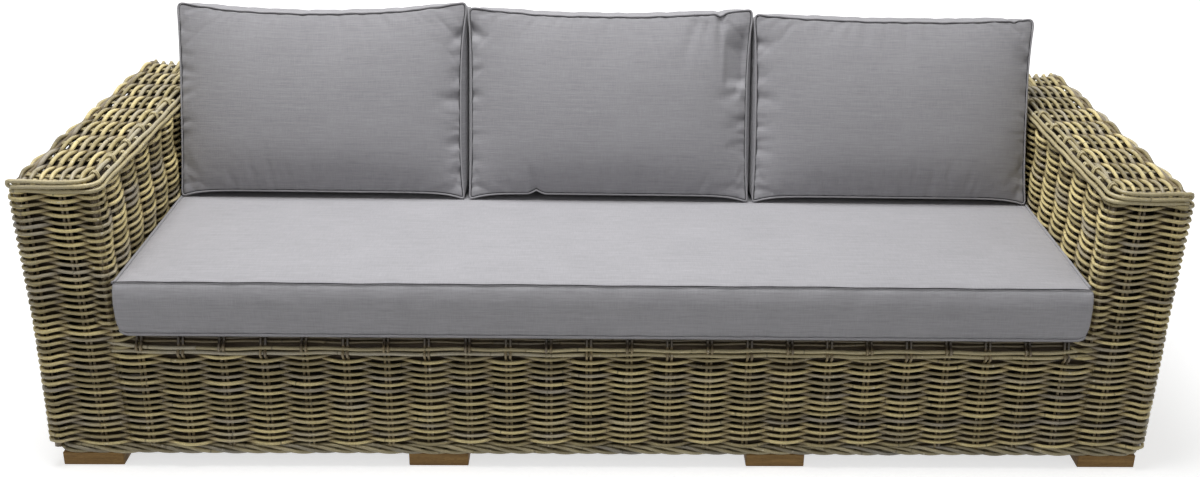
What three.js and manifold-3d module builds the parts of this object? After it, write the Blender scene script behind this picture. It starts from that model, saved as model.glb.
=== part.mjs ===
// A three-seat rattan garden sofa: a hardwood frame on eight block feet, a woven rattan skin
// over all of it, one long seat cushion and three back cushions that lean on the back.
// Millimetres, +X to the right as seen from the front, +Y to the rear, +Z up.
// The origin is on the floor, in the middle of the whole sofa.
import * as THREE from "three";
import { mergeVertices } from "three/addons/utils/BufferGeometryUtils.js";
import Module from "manifold-3d";

const wasm = await Module();
wasm.setup();

// Overall sizes
const bodyWidth = 2400; // outside of one arm to the outside of the other
const bodyDepth = 926;
const bodyTop = 665; // floor to the top of the arms and the back
const armWidth = 178;
const backThickness = 178;
const deckTop = 336; // floor to the woven deck that the seat cushion lies on

// Woven skin
const weaveThickness = 22; // canes in front of and behind their stakes
const caneThickness = 7.75; // the rows of canes are packed, so they lie this far apart
const stakeDistance = 87; // about this far apart, fitted to each wall
const frontCaneDepth = 0.5; // from a wall's face to the canes that pass in front of a stake
const weaveMargin = 2; // plain strip round the relief of a wall
const weaveEdgeRadius = 20; // outer corners of the arms and back
const apronEdgeRadius = 30; // where the front weave turns over the seat rail
const apronReturn = 84; // how far that weave lies on the deck
const borderHeight = 27; // plaited border round the foot of the weave
const borderEdgeRadius = 16;

// Hardwood frame
const memberWidth = 44; // posts are this square, rails this thick
const railHeight = 60;
const ribDistance = 744; // between the two middle ribs, legs, bearers and feet

// Feet
const footWidth = 130;
const footDepth = 70;
const footHeight = 31;
const footSetback = 13; // from the outer face of the weave
const endFootInset = 15; // from the outer end of the weave

// Seat cushion
const seatCushionProud = 12; // how far it stands out past the front weave
const seatCushionThickness = 109;
const seatCushionSink = 12; // how far the back cushions press its rear seam down
const seatCushionDrawIn = 6; // seams pull in between the corners
const seatCushionBulge = 4; // side bands swell out at half their height

// Back cushions
const backCushionCount = 3;
const backCushionHeight = 450;
const backCushionThickness = 150;
const backCushionLean = THREE.MathUtils.degToRad(17);
const backCushionFrontCrown = 26;
const backCushionRearCrown = 36;
const backCushionDrawIn = 9;
const backCushionBulge = 5;
const backCushionTopDip = 13; // its top edge hangs between the corners

// Clearances
const restGap = 0.3; // a cushion above or before what carries it
const cushionSideGap = 2; // a cushion beside an arm or the back
const cushionNeighbourGap = 4; // between two back cushions

// How far a cut reaches out past the face that it is made in
const cutOverrun = 3;

// Smoothness
const arcSteps = 5;
const seatCushionSteps = { across: 28, crowned: 11, pressed: 3, high: 4 };
const backCushionSteps = { across: 18, thick: 4, high: 12 };

// Faces and levels that several pieces share
const rightFace = bodyWidth / 2;
const leftFace = -rightFace;
const rearFace = (bodyDepth + seatCushionProud) / 2;
const frontFace = rearFace - bodyDepth;
const armInner = rightFace - armWidth; // x of an arm's face towards the seat
const backInner = rearFace - backThickness; // y of the back's face towards the seat
const borderTop = footHeight + borderHeight;
const skinTop = bodyTop - weaveThickness; // underside of the top weave
const armSkinBack = armInner + weaveThickness; // x of the hidden face of an arm's inner weave
const backSkinBack = backInner + weaveThickness;
const frontSkinBack = frontFace + weaveThickness;
const rearSkinBack = rearFace - weaveThickness;
const endSkinBack = rightFace - weaveThickness;
const deckUnderside = deckTop - weaveThickness;
const baseRailTop = footHeight + railHeight;
const topRailUnderside = skinTop - memberWidth;
const seatRailUnderside = deckUnderside - railHeight;
const seatCushionTop = deckTop + restGap + seatCushionThickness; // level of its upper seam
const edgeRadius = Math.min(weaveEdgeRadius, weaveThickness);
const borderRadius = Math.min(borderEdgeRadius, weaveThickness, borderHeight);

// Finishes
const rattan = new THREE.MeshStandardMaterial({ color: 0x9c9068, roughness: 0.6, metalness: 0 });
const borderRattan = new THREE.MeshStandardMaterial({ color: 0x8b8262, roughness: 0.6, metalness: 0 });
const frameWood = new THREE.MeshStandardMaterial({ color: 0xb08d5c, roughness: 0.7, metalness: 0 });
const footWood = new THREE.MeshStandardMaterial({ color: 0x7d5230, roughness: 0.55, metalness: 0 });
const fabric = new THREE.MeshStandardMaterial({ color: 0x98969c, roughness: 0.95, metalness: 0 });

const sofa = new THREE.Group();

function addPiece(name, geometry, material) {
  const mesh = new THREE.Mesh(geometry, material);
  mesh.name = name;
  sofa.add(mesh);
}

// The closed solid of a geometry, with its shared corners joined
function solidOf(geometry) {
  const bare = geometry.clone();
  bare.deleteAttribute("normal");
  bare.deleteAttribute("uv");
  const merged = mergeVertices(bare);
  const mesh = new wasm.Mesh({
    numProp: merged.attributes.position.itemSize,
    vertProperties: new Float32Array(merged.attributes.position.array),
    triVerts: new Uint32Array(merged.index.array),
  });
  return new wasm.Manifold(mesh);
}

function geometryOf(solid) {
  const mesh = solid.getMesh();
  const geometry = new THREE.BufferGeometry();
  geometry.setAttribute("position", new THREE.BufferAttribute(mesh.vertProperties, mesh.numProp));
  geometry.setIndex(new THREE.BufferAttribute(mesh.triVerts, 1));
  geometry.computeVertexNormals();
  return geometry;
}

// For each direction of extrusion: the two axes of its outline, and the outline's corners in
// order, each named by the two faces that meet there
const outlines = {
  z: { axes: ["x", "y"], corners: ["left front", "right front", "right rear", "left rear"] },
  x: { axes: ["y", "z"], corners: ["front bottom", "rear bottom", "rear top", "front top"] },
  y: { axes: ["z", "x"], corners: ["left bottom", "left top", "right top", "right bottom"] },
};

// Turns an extrusion made along z so that it runs along another axis
function turnTo(direction, geometry) {
  const turns = { z: [0, 1, 2], x: [2, 0, 1], y: [1, 2, 0] };
  const columns = [new THREE.Vector3(1, 0, 0), new THREE.Vector3(0, 1, 0), new THREE.Vector3(0, 0, 1)];
  const order = turns[direction];
  const matrix = new THREE.Matrix4().makeBasis(
    columns[order.indexOf(0)],
    columns[order.indexOf(1)],
    columns[order.indexOf(2)],
  );
  return geometry.applyMatrix4(matrix);
}

// A box between two limits on each axis, run along one axis with the named edges rounded
function roundedExtrusion(box, direction, edges, radius) {
  const { axes, corners } = outlines[direction];
  const [[lowU, highU], [lowV, highV]] = axes.map((axis) => box[axis]);
  const [start, end] = box[direction];
  const r = corners.map((corner) => (edges.includes(corner) ? radius : 0));
  const quarter = Math.PI / 2;
  const shape = new THREE.Shape();
  const places = [
    [lowU + r[0], lowV + r[0], 2 * quarter],
    [highU - r[1], lowV + r[1], 3 * quarter],
    [highU - r[2], highV - r[2], 0],
    [lowU + r[3], highV - r[3], quarter],
  ];
  // The outline starts with an arc, and each later arc is joined to the point before it
  const firstRound = r.findIndex((cornerRadius) => cornerRadius > 0);
  for (let step = 0; step < places.length; step++) {
    const i = (firstRound + step) % places.length;
    const [u, v, angle] = places[i];
    if (r[i] > 0) shape.absarc(u, v, r[i], angle, angle + quarter, false);
    else shape.lineTo(u, v);
  }
  shape.closePath();
  const settings = { depth: end - start, bevelEnabled: false, curveSegments: arcSteps };
  const geometry = new THREE.ExtrudeGeometry(shape, settings).translate(0, 0, start);
  return turnTo(direction, geometry);
}

// A block between limits on x, y and z. Each edge in the list is named by its two faces.
function blockOf(box, edges, radius) {
  const size = (axis) => box[axis][1] - box[axis][0];
  const middle = (axis) => (box[axis][1] + box[axis][0]) / 2;
  if (edges.length === 0) {
    const plain = new THREE.BoxGeometry(size("x"), size("y"), size("z"));
    return solidOf(plain.translate(middle("x"), middle("y"), middle("z")));
  }
  const used = Object.keys(outlines).filter((direction) =>
    outlines[direction].corners.some((corner) => edges.includes(corner)),
  );
  const solids = used.map((direction) => solidOf(roundedExtrusion(box, direction, edges, radius)));
  return solids.reduce((all, next) => all.intersect(next));
}

function addBlock(name, box, material, edges = [], radius = edgeRadius) {
  addPiece(name, geometryOf(blockOf(box, edges, radius)), material);
}

// A rattan panel with the relief of the weave on one face
function addWovenPanel(name, box, weave, edges = []) {
  addPiece(name, geometryOf(blockOf(box, edges, edgeRadius).subtract(hollowsOf(weave))), rattan);
}

// The same piece on both sides of the sofa: side is -1 on the left and 1 on the right
const sides = [
  { word: "left", side: -1 },
  { word: "right", side: 1 },
];

// Limits on x for a piece on one side, given as distances from the middle
function xLimits(side, near, far) {
  return side > 0 ? [near, far] : [-far, -near];
}

// Limits on x for a piece that is centred on a line
function centredLimits(centre, width) {
  return [centre - width / 2, centre + width / 2];
}

// Hardwood base: four rails on the feet, and a bearer under each arm's inner face
const frontRailY = [frontSkinBack, frontSkinBack + memberWidth];
const rearRailY = [rearSkinBack - memberWidth, rearSkinBack];
const betweenRailsY = [frontRailY[1], rearRailY[0]];
const baseRailZ = [footHeight, baseRailTop];
const endPostInner = endSkinBack - memberWidth;

function addBase() {
  const railX = [-endPostInner, endPostInner];
  addBlock("base_rail_front", { x: railX, y: frontRailY, z: baseRailZ }, frameWood);
  addBlock("base_rail_rear", { x: railX, y: rearRailY, z: baseRailZ }, frameWood);
  for (const { word, side } of sides) {
    const railLimits = xLimits(side, endPostInner, endSkinBack);
    addBlock(`base_rail_${word}`, { x: railLimits, y: betweenRailsY, z: baseRailZ }, frameWood);
    const bearerLimits = xLimits(side, armSkinBack, armSkinBack + memberWidth);
    addBlock(`base_bearer_${word}`, { x: bearerLimits, y: betweenRailsY, z: baseRailZ }, frameWood);
  }
}

// Posts: one at each outer corner, and two under each arm's inner face
const innerPostY = [backSkinBack, backSkinBack + memberWidth];

function addPosts() {
  for (const { word, side } of sides) {
    const outerX = xLimits(side, endPostInner, endSkinBack);
    const innerX = xLimits(side, armSkinBack, armSkinBack + memberWidth);
    const fullZ = [footHeight, topRailUnderside];
    const innerZ = [baseRailTop, topRailUnderside];
    addBlock(`corner_post_front_${word}`, { x: outerX, y: frontRailY, z: fullZ }, frameWood);
    addBlock(`corner_post_rear_${word}`, { x: outerX, y: rearRailY, z: fullZ }, frameWood);
    addBlock(`arm_post_front_${word}`, { x: innerX, y: frontRailY, z: innerZ }, frameWood);
    addBlock(`arm_post_rear_${word}`, { x: innerX, y: innerPostY, z: innerZ }, frameWood);
  }
}

// Seat frame: a front and a rear rail, four bearers between them, and two legs over the
// middle feet
const seatRailZ = [seatRailUnderside, deckUnderside];
const seatRearRailY = [backSkinBack - memberWidth, backSkinBack];

function addSeatFrame() {
  const frontX = [-armSkinBack, armSkinBack];
  const rearX = [-armSkinBack - memberWidth, armSkinBack + memberWidth];
  addBlock("seat_rail_front", { x: frontX, y: frontRailY, z: seatRailZ }, frameWood);
  addBlock("seat_rail_rear", { x: rearX, y: seatRearRailY, z: seatRailZ }, frameWood);
  const bearerY = [frontRailY[1], seatRearRailY[0]];
  for (const { word, side } of sides) {
    const endX = xLimits(side, armSkinBack - memberWidth, armSkinBack);
    const middleX = centredLimits((side * ribDistance) / 2, memberWidth);
    const legZ = [baseRailTop, seatRailUnderside];
    addBlock(`seat_bearer_end_${word}`, { x: endX, y: bearerY, z: seatRailZ }, frameWood);
    addBlock(`seat_bearer_middle_${word}`, { x: middleX, y: bearerY, z: seatRailZ }, frameWood);
    addBlock(`seat_leg_${word}`, { x: middleX, y: frontRailY, z: legZ }, frameWood);
  }
}

// Top rails of the arms and the back, and the two ribs that stand in the back
const topRailZ = [topRailUnderside, skinTop];

function addTopFrame() {
  const armRailY = [frontSkinBack, rearSkinBack];
  const backRailX = [-armSkinBack, armSkinBack];
  addBlock("back_rail_front", { x: backRailX, y: innerPostY, z: topRailZ }, frameWood);
  addBlock("back_rail_rear", { x: backRailX, y: rearRailY, z: topRailZ }, frameWood);
  for (const { word, side } of sides) {
    const outerX = xLimits(side, endPostInner, endSkinBack);
    const innerX = xLimits(side, armSkinBack, armSkinBack + memberWidth);
    const ribX = centredLimits((side * ribDistance) / 2, memberWidth);
    const ribBox = { x: ribX, y: [backSkinBack, rearSkinBack], z: [baseRailTop, topRailUnderside] };
    addBlock(`arm_rail_outer_${word}`, { x: outerX, y: armRailY, z: topRailZ }, frameWood);
    addBlock(`arm_rail_inner_${word}`, { x: innerX, y: armRailY, z: topRailZ }, frameWood);
    addBlock(`back_rib_${word}`, ribBox, frameWood);
  }
}

// Block feet under the base rails: four at the front and four at the rear
function addFeet() {
  const endCentre = rightFace - endFootInset - footWidth / 2;
  const places = [
    { word: "end", centre: endCentre },
    { word: "middle", centre: ribDistance / 2 },
  ];
  const frontY = [frontFace + footSetback, frontFace + footSetback + footDepth];
  const rearY = [rearFace - footSetback - footDepth, rearFace - footSetback];
  for (const { word, side } of sides) {
    for (const place of places) {
      const x = centredLimits(side * place.centre, footWidth);
      addBlock(`foot_front_${place.word}_${word}`, { x, y: frontY, z: [0, footHeight] }, footWood);
      addBlock(`foot_rear_${place.word}_${word}`, { x, y: rearY, z: [0, footHeight] }, footWood);
    }
  }
}

// Plaited border round the foot of the weave, in four lengths
function addBorders() {
  const z = [footHeight, borderTop];
  const fullX = [leftFace, rightFace];
  const ends = ["left bottom", "right bottom"];
  const front = { x: fullX, y: [frontFace, frontSkinBack], z };
  const rear = { x: fullX, y: [rearSkinBack, rearFace], z };
  const frontEdges = ["front bottom", "left front", "right front", ...ends];
  const rearEdges = ["rear bottom", "left rear", "right rear", ...ends];
  addBlock("base_border_front", front, borderRattan, frontEdges, borderRadius);
  addBlock("base_border_rear", rear, borderRattan, rearEdges, borderRadius);
  for (const { word, side } of sides) {
    const box = { x: xLimits(side, endSkinBack, rightFace), y: [frontSkinBack, rearSkinBack], z };
    addBlock(`base_border_${word}`, box, borderRattan, [`${word} bottom`], borderRadius);
  }
}

// One at the middle of a span that runs from -1 to 1, and nothing at its ends
function crownAt(share, sharpness) {
  return 1 - Math.abs(share) ** sharpness;
}

// Moves each corner of a box geometry to where a rule puts it, from its shares of the box
function reshaped(width, depth, height, steps, rule) {
  const box = new THREE.BoxGeometry(width, depth, height, ...steps);
  box.deleteAttribute("normal");
  box.deleteAttribute("uv");
  const geometry = mergeVertices(box);
  const position = geometry.attributes.position;
  const place = new THREE.Vector3();
  for (let i = 0; i < position.count; i++) {
    place.fromBufferAttribute(position, i);
    const shares = new THREE.Vector3(place.x / (width / 2), place.y / (depth / 2), place.z / (height / 2));
    rule(place, shares);
    position.setXYZ(i, place.x, place.y, place.z);
  }
  geometry.computeVertexNormals();
  return geometry;
}

// Stakes stand in the middle of the skin. Their places between two ends, with the first one a
// share of a space from the end.
function stakesBetween(from, to, endShare = 1) {
  const spaces = Math.max(Math.round((to - from) / stakeDistance), 1);
  const space = (to - from) / spaces;
  return Array.from({ length: Math.ceil(spaces - endShare) }, (_, i) => from + (i + endShare) * space);
}

const stakeInset = weaveThickness / 2;
const armFrontStakes = stakesBetween(armInner + stakeInset, rightFace - stakeInset);
const armOuterStakes = stakesBetween(frontFace + stakeInset, rearFace - stakeInset);
const rearStakes = stakesBetween(leftFace + stakeInset, rightFace - stakeInset);
const apronStakes = stakesBetween(-armInner - stakeInset, armInner + stakeInset, 1 / 2);

// Rows of canes, counted from the foot of the walls
const rowCount = Math.floor((skinTop - borderTop) / caneThickness);
const rowLevel = (row) => borderTop + (row + 1 / 2) * caneThickness;

// The turn about z that brings a wall which looks to the front to each side, and the sign of
// the places along it after that turn
const facings = {
  front: { turn: 0, sign: 1 },
  right: { turn: Math.PI / 2, sign: 1 },
  rear: { turn: Math.PI, sign: -1 },
  left: { turn: -Math.PI / 2, sign: -1 },
};

// Lays the crease across each square of a box geometry's faces between its two deeper corners
function creaseInwards(geometry) {
  const { index } = geometry;
  const depth = geometry.attributes.position;
  for (let i = 0; i < index.count; i += 6) {
    const [a, b, d] = [index.getX(i), index.getX(i + 1), index.getX(i + 2)];
    const c = index.getX(i + 4);
    const isCreasedAcross = depth.getY(a) + depth.getY(c) <= depth.getY(b) + depth.getY(d);
    const corners = isCreasedAcross ? [a, b, d, b, c, d] : [a, b, c, a, c, d];
    corners.forEach((corner, k) => index.setX(i + k, corner));
  }
}

// The hollows between the canes of a woven wall, as one solid to be cut from it. Each cane passes
// in front of one stake and behind the next, and the row above it does the opposite. The solid
// is made for a wall that looks to the front, with y as the depth, and is then turned. It is
// firstInFront where the lowest cane passes in front of the first stake from the left.
function hollowsOf({ facing, distance, along, up, stakes, firstInFront }) {
  const { turn, sign } = facings[facing];
  const sideEdges = [along[0] + weaveMargin, along[1] - weaveMargin];
  const columns = [...sideEdges, ...stakes].map((place) => sign * place);
  columns.sort((a, b) => a - b);
  const [lowest, highest] = [up[0] + weaveMargin, up[1] - weaveMargin];
  const allRows = Array.from({ length: rowCount }, (_, row) => row);
  const rows = allRows.filter((row) => rowLevel(row) > lowest && rowLevel(row) < highest);
  const levels = [lowest, ...rows.map(rowLevel), highest];
  const lastColumn = columns.length - 1;
  const lastLevel = levels.length - 1;
  const cut = reshaped(1, 1, 1, [lastColumn, 1, lastLevel], (place, share) => {
    const column = Math.round(((share.x + 1) / 2) * lastColumn);
    const level = Math.round(((share.z + 1) / 2) * lastLevel);
    const isAtEdge = column % lastColumn === 0 || level % lastLevel === 0;
    const isEven = (column - 1 + rows[0] + level - 1) % 2 === 0;
    const depth = isAtEdge || isEven === firstInFront ? frontCaneDepth : stakeInset;
    place.set(columns[column], share.y > 0 ? depth : -cutOverrun, levels[level]);
  });
  creaseInwards(cut);
  return solidOf(cut.translate(0, -distance, 0).rotateZ(turn));
}

// Woven skin of both arms: front, outer, inner and top panels
function addArmWeave() {
  const sideZ = [borderTop, skinTop];
  const innerZ = [deckTop, skinTop];
  const frontY = [frontFace, frontSkinBack];
  const outerY = [frontSkinBack, rearSkinBack];
  const innerY = [frontFace, backInner];
  for (const { word, side } of sides) {
    const frontBox = { x: xLimits(side, armSkinBack, rightFace), y: frontY, z: sideZ };
    const outerBox = { x: xLimits(side, endSkinBack, rightFace), y: outerY, z: sideZ };
    const innerBox = { x: xLimits(side, armInner, armSkinBack), y: innerY, z: innerZ };
    const topX = xLimits(side, armInner, rightFace);
    const topBox = { x: topX, y: [frontFace, rearFace], z: [skinTop, bodyTop] };
    const inwards = side > 0 ? "left" : "right";
    const topEdges = [
      "front top",
      "rear top",
      "left top",
      "right top",
      `${word} front`,
      `${word} rear`,
      `${inwards} front`,
    ];
    const frontWeave = {
      facing: "front",
      distance: -frontFace,
      along: xLimits(side, armSkinBack, rightFace - edgeRadius),
      up: sideZ,
      stakes: armFrontStakes.map((place) => side * place),
      firstInFront: side < 0,
    };
    const outerWeave = {
      facing: word,
      distance: rightFace,
      along: outerY,
      up: sideZ,
      stakes: armOuterStakes,
      firstInFront: side < 0,
    };
    addWovenPanel(`arm_front_weave_${word}`, frontBox, frontWeave, [`${word} front`]);
    addWovenPanel(`arm_outer_weave_${word}`, outerBox, outerWeave);
    addBlock(`arm_inner_weave_${word}`, innerBox, rattan, [`${inwards} front`]);
    addBlock(`arm_top_weave_${word}`, topBox, rattan, topEdges);
  }
}

// Woven skin of the back: rear, inner and top panels
function addBackWeave() {
  const rearZ = [borderTop, skinTop];
  const innerX = [-armSkinBack, armSkinBack];
  const rearBox = { x: [leftFace, rightFace], y: [rearSkinBack, rearFace], z: rearZ };
  const innerBox = { x: innerX, y: [backInner, backSkinBack], z: [deckUnderside, skinTop] };
  const topBox = { x: [-armInner, armInner], y: [backInner, rearFace], z: [skinTop, bodyTop] };
  const rearWeave = {
    facing: "rear",
    distance: rearFace,
    along: [leftFace + edgeRadius, rightFace - edgeRadius],
    up: rearZ,
    stakes: rearStakes,
    firstInFront: false,
  };
  addWovenPanel("back_outer_weave", rearBox, rearWeave, ["left rear", "right rear"]);
  addBlock("back_inner_weave", innerBox, rattan);
  addBlock("back_top_weave", topBox, rattan, ["front top", "rear top"]);
}

// Woven front apron, which turns over the seat rail, and the woven deck behind it
function addSeatWeave() {
  const returnEnd = frontFace + apronReturn;
  const radius = Math.min(apronEdgeRadius, deckTop - borderTop);
  const profile = new THREE.Shape();
  profile.moveTo(frontFace, borderTop);
  profile.lineTo(frontSkinBack, borderTop);
  profile.lineTo(frontSkinBack, deckUnderside);
  profile.lineTo(returnEnd, deckUnderside);
  profile.lineTo(returnEnd, deckTop);
  profile.absarc(frontFace + radius, deckTop - radius, radius, Math.PI / 2, Math.PI, false);
  profile.closePath();
  const settings = { depth: 2 * armSkinBack, bevelEnabled: false, curveSegments: arcSteps };
  const apron = new THREE.ExtrudeGeometry(profile, settings).translate(0, 0, -armSkinBack);
  const hollows = hollowsOf({
    facing: "front",
    distance: -frontFace,
    along: [-armSkinBack, armSkinBack],
    up: [borderTop, deckTop - radius],
    stakes: apronStakes,
    firstInFront: false,
  });
  const wovenApron = solidOf(turnTo("x", apron)).subtract(hollows);
  addPiece("front_apron_weave", geometryOf(wovenApron), rattan);
  const deckBox = {
    x: [-armSkinBack, armSkinBack],
    y: [returnEnd, backInner],
    z: [deckUnderside, deckTop],
  };
  addBlock("seat_deck_weave", deckBox, rattan);
}

// Where the back cushions stand. Each leans on the rounded top edge of the back with the
// crown of its rear face, and its flat foot rests on the sloping rear part of the seat cushion.
const leanSin = Math.sin(backCushionLean);
const leanCos = Math.cos(backCushionLean);
const backCushionFootZ = seatCushionTop + restGap;
const leanReach = edgeRadius + restGap + backCushionRearCrown; // from the edge's centre to the rear face
const leanEdgeY = backInner + edgeRadius - leanReach * leanCos;
const leanEdgeZ = bodyTop - edgeRadius + leanReach * leanSin;
const backCushionRearY = leanEdgeY - ((leanEdgeZ - backCushionFootZ) * leanSin) / leanCos;
const backCushionFrontY = backCushionRearY - backCushionThickness / leanCos;
const seatCushionRearY = backInner - cushionSideGap;
const seatSlope = seatCushionSink / (seatCushionRearY - backCushionFrontY);

// One long box cushion. Its top rises behind the front seam, then falls evenly to the rear
// under the back cushions. It stays below the plane that their feet rest on.
function addSeatCushion() {
  const outerWidth = 2 * (armInner - cushionSideGap);
  const frontY = frontFace - seatCushionProud;
  const outerDepth = seatCushionRearY - frontY;
  const centreY = (frontY + seatCushionRearY) / 2;
  const seamWidth = outerWidth - 2 * seatCushionBulge;
  const seamDepth = outerDepth - 2 * seatCushionBulge;
  const { across, crowned, pressed, high } = seatCushionSteps;
  const crownShare = (backCushionFrontY - frontY) / outerDepth;
  const crownedSteps = crowned / (crowned + pressed);
  const crownSharpness = { across: 6, front: 5 };
  const drawSharpness = 4;
  const steps = [across, crowned + pressed, high];
  const cushion = reshaped(seamWidth, seamDepth, seatCushionThickness, steps, (place, share) => {
    // The rows of corners are moved so that one of them lies where the back cushions begin
    const row = (share.y + 1) / 2;
    const inCrown = Math.min(row / crownedSteps, 1);
    const behindCrown = Math.max((row - crownedSteps) / (1 - crownedSteps), 0);
    const fromFront = inCrown * crownShare + behindCrown * (1 - crownShare);
    const alongDepth = 2 * fromFront - 1;
    const swell = seatCushionBulge * crownAt(share.z, 2);
    const sideDrawIn = seatCushionDrawIn * crownAt(alongDepth, drawSharpness);
    const frontDrawIn = seatCushionDrawIn * crownAt(share.x, drawSharpness);
    place.x += share.x * (swell - sideDrawIn);
    place.y = (alongDepth * seamDepth) / 2 + alongDepth * (swell - frontDrawIn);
    const rise = seatSlope * (backCushionFrontY - centreY - place.y);
    const crown = crownAt(share.x, crownSharpness.across) * crownAt(1 - inCrown, crownSharpness.front);
    const lift = rise > 0 ? rise * crown : rise;
    place.z += (lift * (share.z + 1)) / 2;
  });
  const centreZ = deckTop + restGap + seatCushionThickness / 2;
  addPiece("seat_cushion", cushion.translate(0, centreY, centreZ), fabric);
}

// Three box cushions side by side, each crowned on both faces
function addBackCushions() {
  const rowWidth = 2 * (armInner - cushionSideGap);
  const gaps = (backCushionCount - 1) * cushionNeighbourGap;
  const outerWidth = (rowWidth - gaps) / backCushionCount;
  const seamWidth = outerWidth - 2 * backCushionBulge;
  const { across, thick, high } = backCushionSteps;
  const crownSharpness = 2.6;
  const drawSharpness = 4;
  const words = ["left", "middle", "right"];
  for (let i = 0; i < backCushionCount; i++) {
    const centreX = -rowWidth / 2 + outerWidth / 2 + i * (outerWidth + cushionNeighbourGap);
    const steps = [across, thick, high];
    const cushion = reshaped(seamWidth, backCushionThickness, backCushionHeight, steps, (place, share) => {
      const towardsRear = (share.y + 1) / 2;
      const up = (share.z + 1) / 2;
      // The foot slopes as the seat does and the rest leans, so each line up the cushion runs
      // along the lean
      const levelY = backCushionFrontY + (towardsRear * backCushionThickness) / leanCos;
      const fromFront = levelY - backCushionFrontY;
      const footDrop = (seatSlope * fromFront) / (1 + seatSlope * Math.tan(backCushionLean));
      const footY = levelY - footDrop * Math.tan(backCushionLean);
      const depth = towardsRear * backCushionThickness;
      const headY = backCushionFrontY + backCushionHeight * leanSin + depth * leanCos;
      const headZ = backCushionHeight * leanCos - depth * leanSin;
      const crown = crownAt(share.x, crownSharpness) * crownAt(share.z, crownSharpness);
      const crownDepth = towardsRear * backCushionRearCrown - (1 - towardsRear) * backCushionFrontCrown;
      const swell = backCushionBulge * crownAt(share.y, 2);
      const drawIn = backCushionDrawIn * crownAt(share.z, drawSharpness);
      const dip = backCushionTopDip * up ** 2 * crownAt(share.x, 2);
      place.x = centreX + place.x + share.x * (swell - drawIn);
      place.y = footY * (1 - up) + headY * up + crown * crownDepth * leanCos - dip * leanSin;
      const sunk = footDrop * (1 - up) + crown * crownDepth * leanSin + dip * leanCos;
      place.z = backCushionFootZ + headZ * up - sunk;
    });
    const name = i < words.length ? words[i] : String(i + 1);
    addPiece(`back_cushion_${name}`, cushion, fabric);
  }
}

addFeet();
addBase();
addPosts();
addSeatFrame();
addTopFrame();
addBorders();
addArmWeave();
addBackWeave();
addSeatWeave();
addSeatCushion();
addBackCushions();

export default sofa;
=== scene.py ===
import math
import random

import bmesh
import bpy
import numpy as np
from mathutils import Matrix, Vector


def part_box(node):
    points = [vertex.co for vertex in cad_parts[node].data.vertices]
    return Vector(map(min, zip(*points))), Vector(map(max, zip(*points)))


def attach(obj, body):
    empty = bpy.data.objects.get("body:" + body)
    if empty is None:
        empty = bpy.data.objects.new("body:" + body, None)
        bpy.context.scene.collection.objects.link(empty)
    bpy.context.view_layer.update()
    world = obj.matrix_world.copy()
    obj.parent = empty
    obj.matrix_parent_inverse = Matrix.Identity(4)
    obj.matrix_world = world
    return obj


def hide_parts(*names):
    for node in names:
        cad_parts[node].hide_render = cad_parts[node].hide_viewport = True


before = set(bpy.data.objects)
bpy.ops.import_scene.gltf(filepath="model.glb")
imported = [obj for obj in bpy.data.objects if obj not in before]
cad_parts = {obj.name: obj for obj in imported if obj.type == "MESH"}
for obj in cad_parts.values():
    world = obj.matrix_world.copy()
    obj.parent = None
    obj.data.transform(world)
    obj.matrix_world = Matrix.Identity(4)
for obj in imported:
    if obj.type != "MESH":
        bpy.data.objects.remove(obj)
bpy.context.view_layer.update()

scene = bpy.context.scene


# Camera, fitted to the photograph's viewing angle

camera = {
    "place": (-0.0282, -3.0698, 1.6398),
    "turn": 2.599,  # degrees to the right of straight ahead
    "down": 22.556,
    "roll": 1.553,
    "lens": 41.28,
    "shift": -0.0457,
}


def addLinked(name, data):
    made = bpy.data.objects.new(name, data)
    scene.collection.objects.link(made)
    return made


def addCamera(c):
    turn, down, roll = (math.radians(c[k]) for k in ("turn", "down", "roll"))
    ahead = Vector((math.sin(turn) * math.cos(down), math.cos(turn) * math.cos(down), -math.sin(down)))
    right = Vector((math.cos(turn), -math.sin(turn), 0))
    up = right.cross(ahead)
    rolledRight = right * math.cos(roll) + up * math.sin(roll)
    rolledUp = up * math.cos(roll) - right * math.sin(roll)
    data = bpy.data.cameras.new("camera")
    data.lens = c["lens"]
    data.shift_x = c["shift"]
    scene.camera = addLinked("camera", data)
    facing = Matrix((rolledRight, rolledUp, -ahead)).transposed().to_4x4()
    scene.camera.matrix_world = Matrix.Translation(c["place"]) @ facing


addCamera(camera)
print("camera placed")


# Node helpers

def freshMaterial(name, values):
    material = bpy.data.materials.new(name)
    material.use_nodes = True
    tree = material.node_tree
    shader = tree.nodes["Principled BSDF"]
    for key, value in values.items():
        shader.inputs[key].default_value = value
    return material, tree, shader


def setInput(tree, socket, value):
    if isinstance(value, bpy.types.NodeSocket):
        tree.links.new(value, socket)
    else:
        socket.default_value = value


def addNode(tree, kind, inputs=None, **settings):
    node = tree.nodes.new(kind)
    for key, value in settings.items():
        setattr(node, key, value)
    for key, value in (inputs or {}).items():
        setInput(tree, node.inputs[key], value)
    return node


def addRamp(tree, factor, stops):
    node = addNode(tree, "ShaderNodeValToRGB", {"Fac": factor})
    ramp = node.color_ramp
    while len(ramp.elements) < len(stops):
        ramp.elements.new(0.5)
    for element, (position, colour) in zip(ramp.elements, stops):
        element.position = position
        element.color = (*colour, 1)
    return node.outputs["Color"]


def mixColours(tree, factor, first, second, blend="MIX"):
    inputs = {0: factor, 6: first, 7: second}
    return addNode(tree, "ShaderNodeMix", inputs, data_type="RGBA", blend_type=blend).outputs[2]


def calculate(tree, operation, first, second=0.0, clamp=False):
    inputs = {0: first, 1: second}
    return addNode(tree, "ShaderNodeMath", inputs, operation=operation, use_clamp=clamp).outputs[0]


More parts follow.
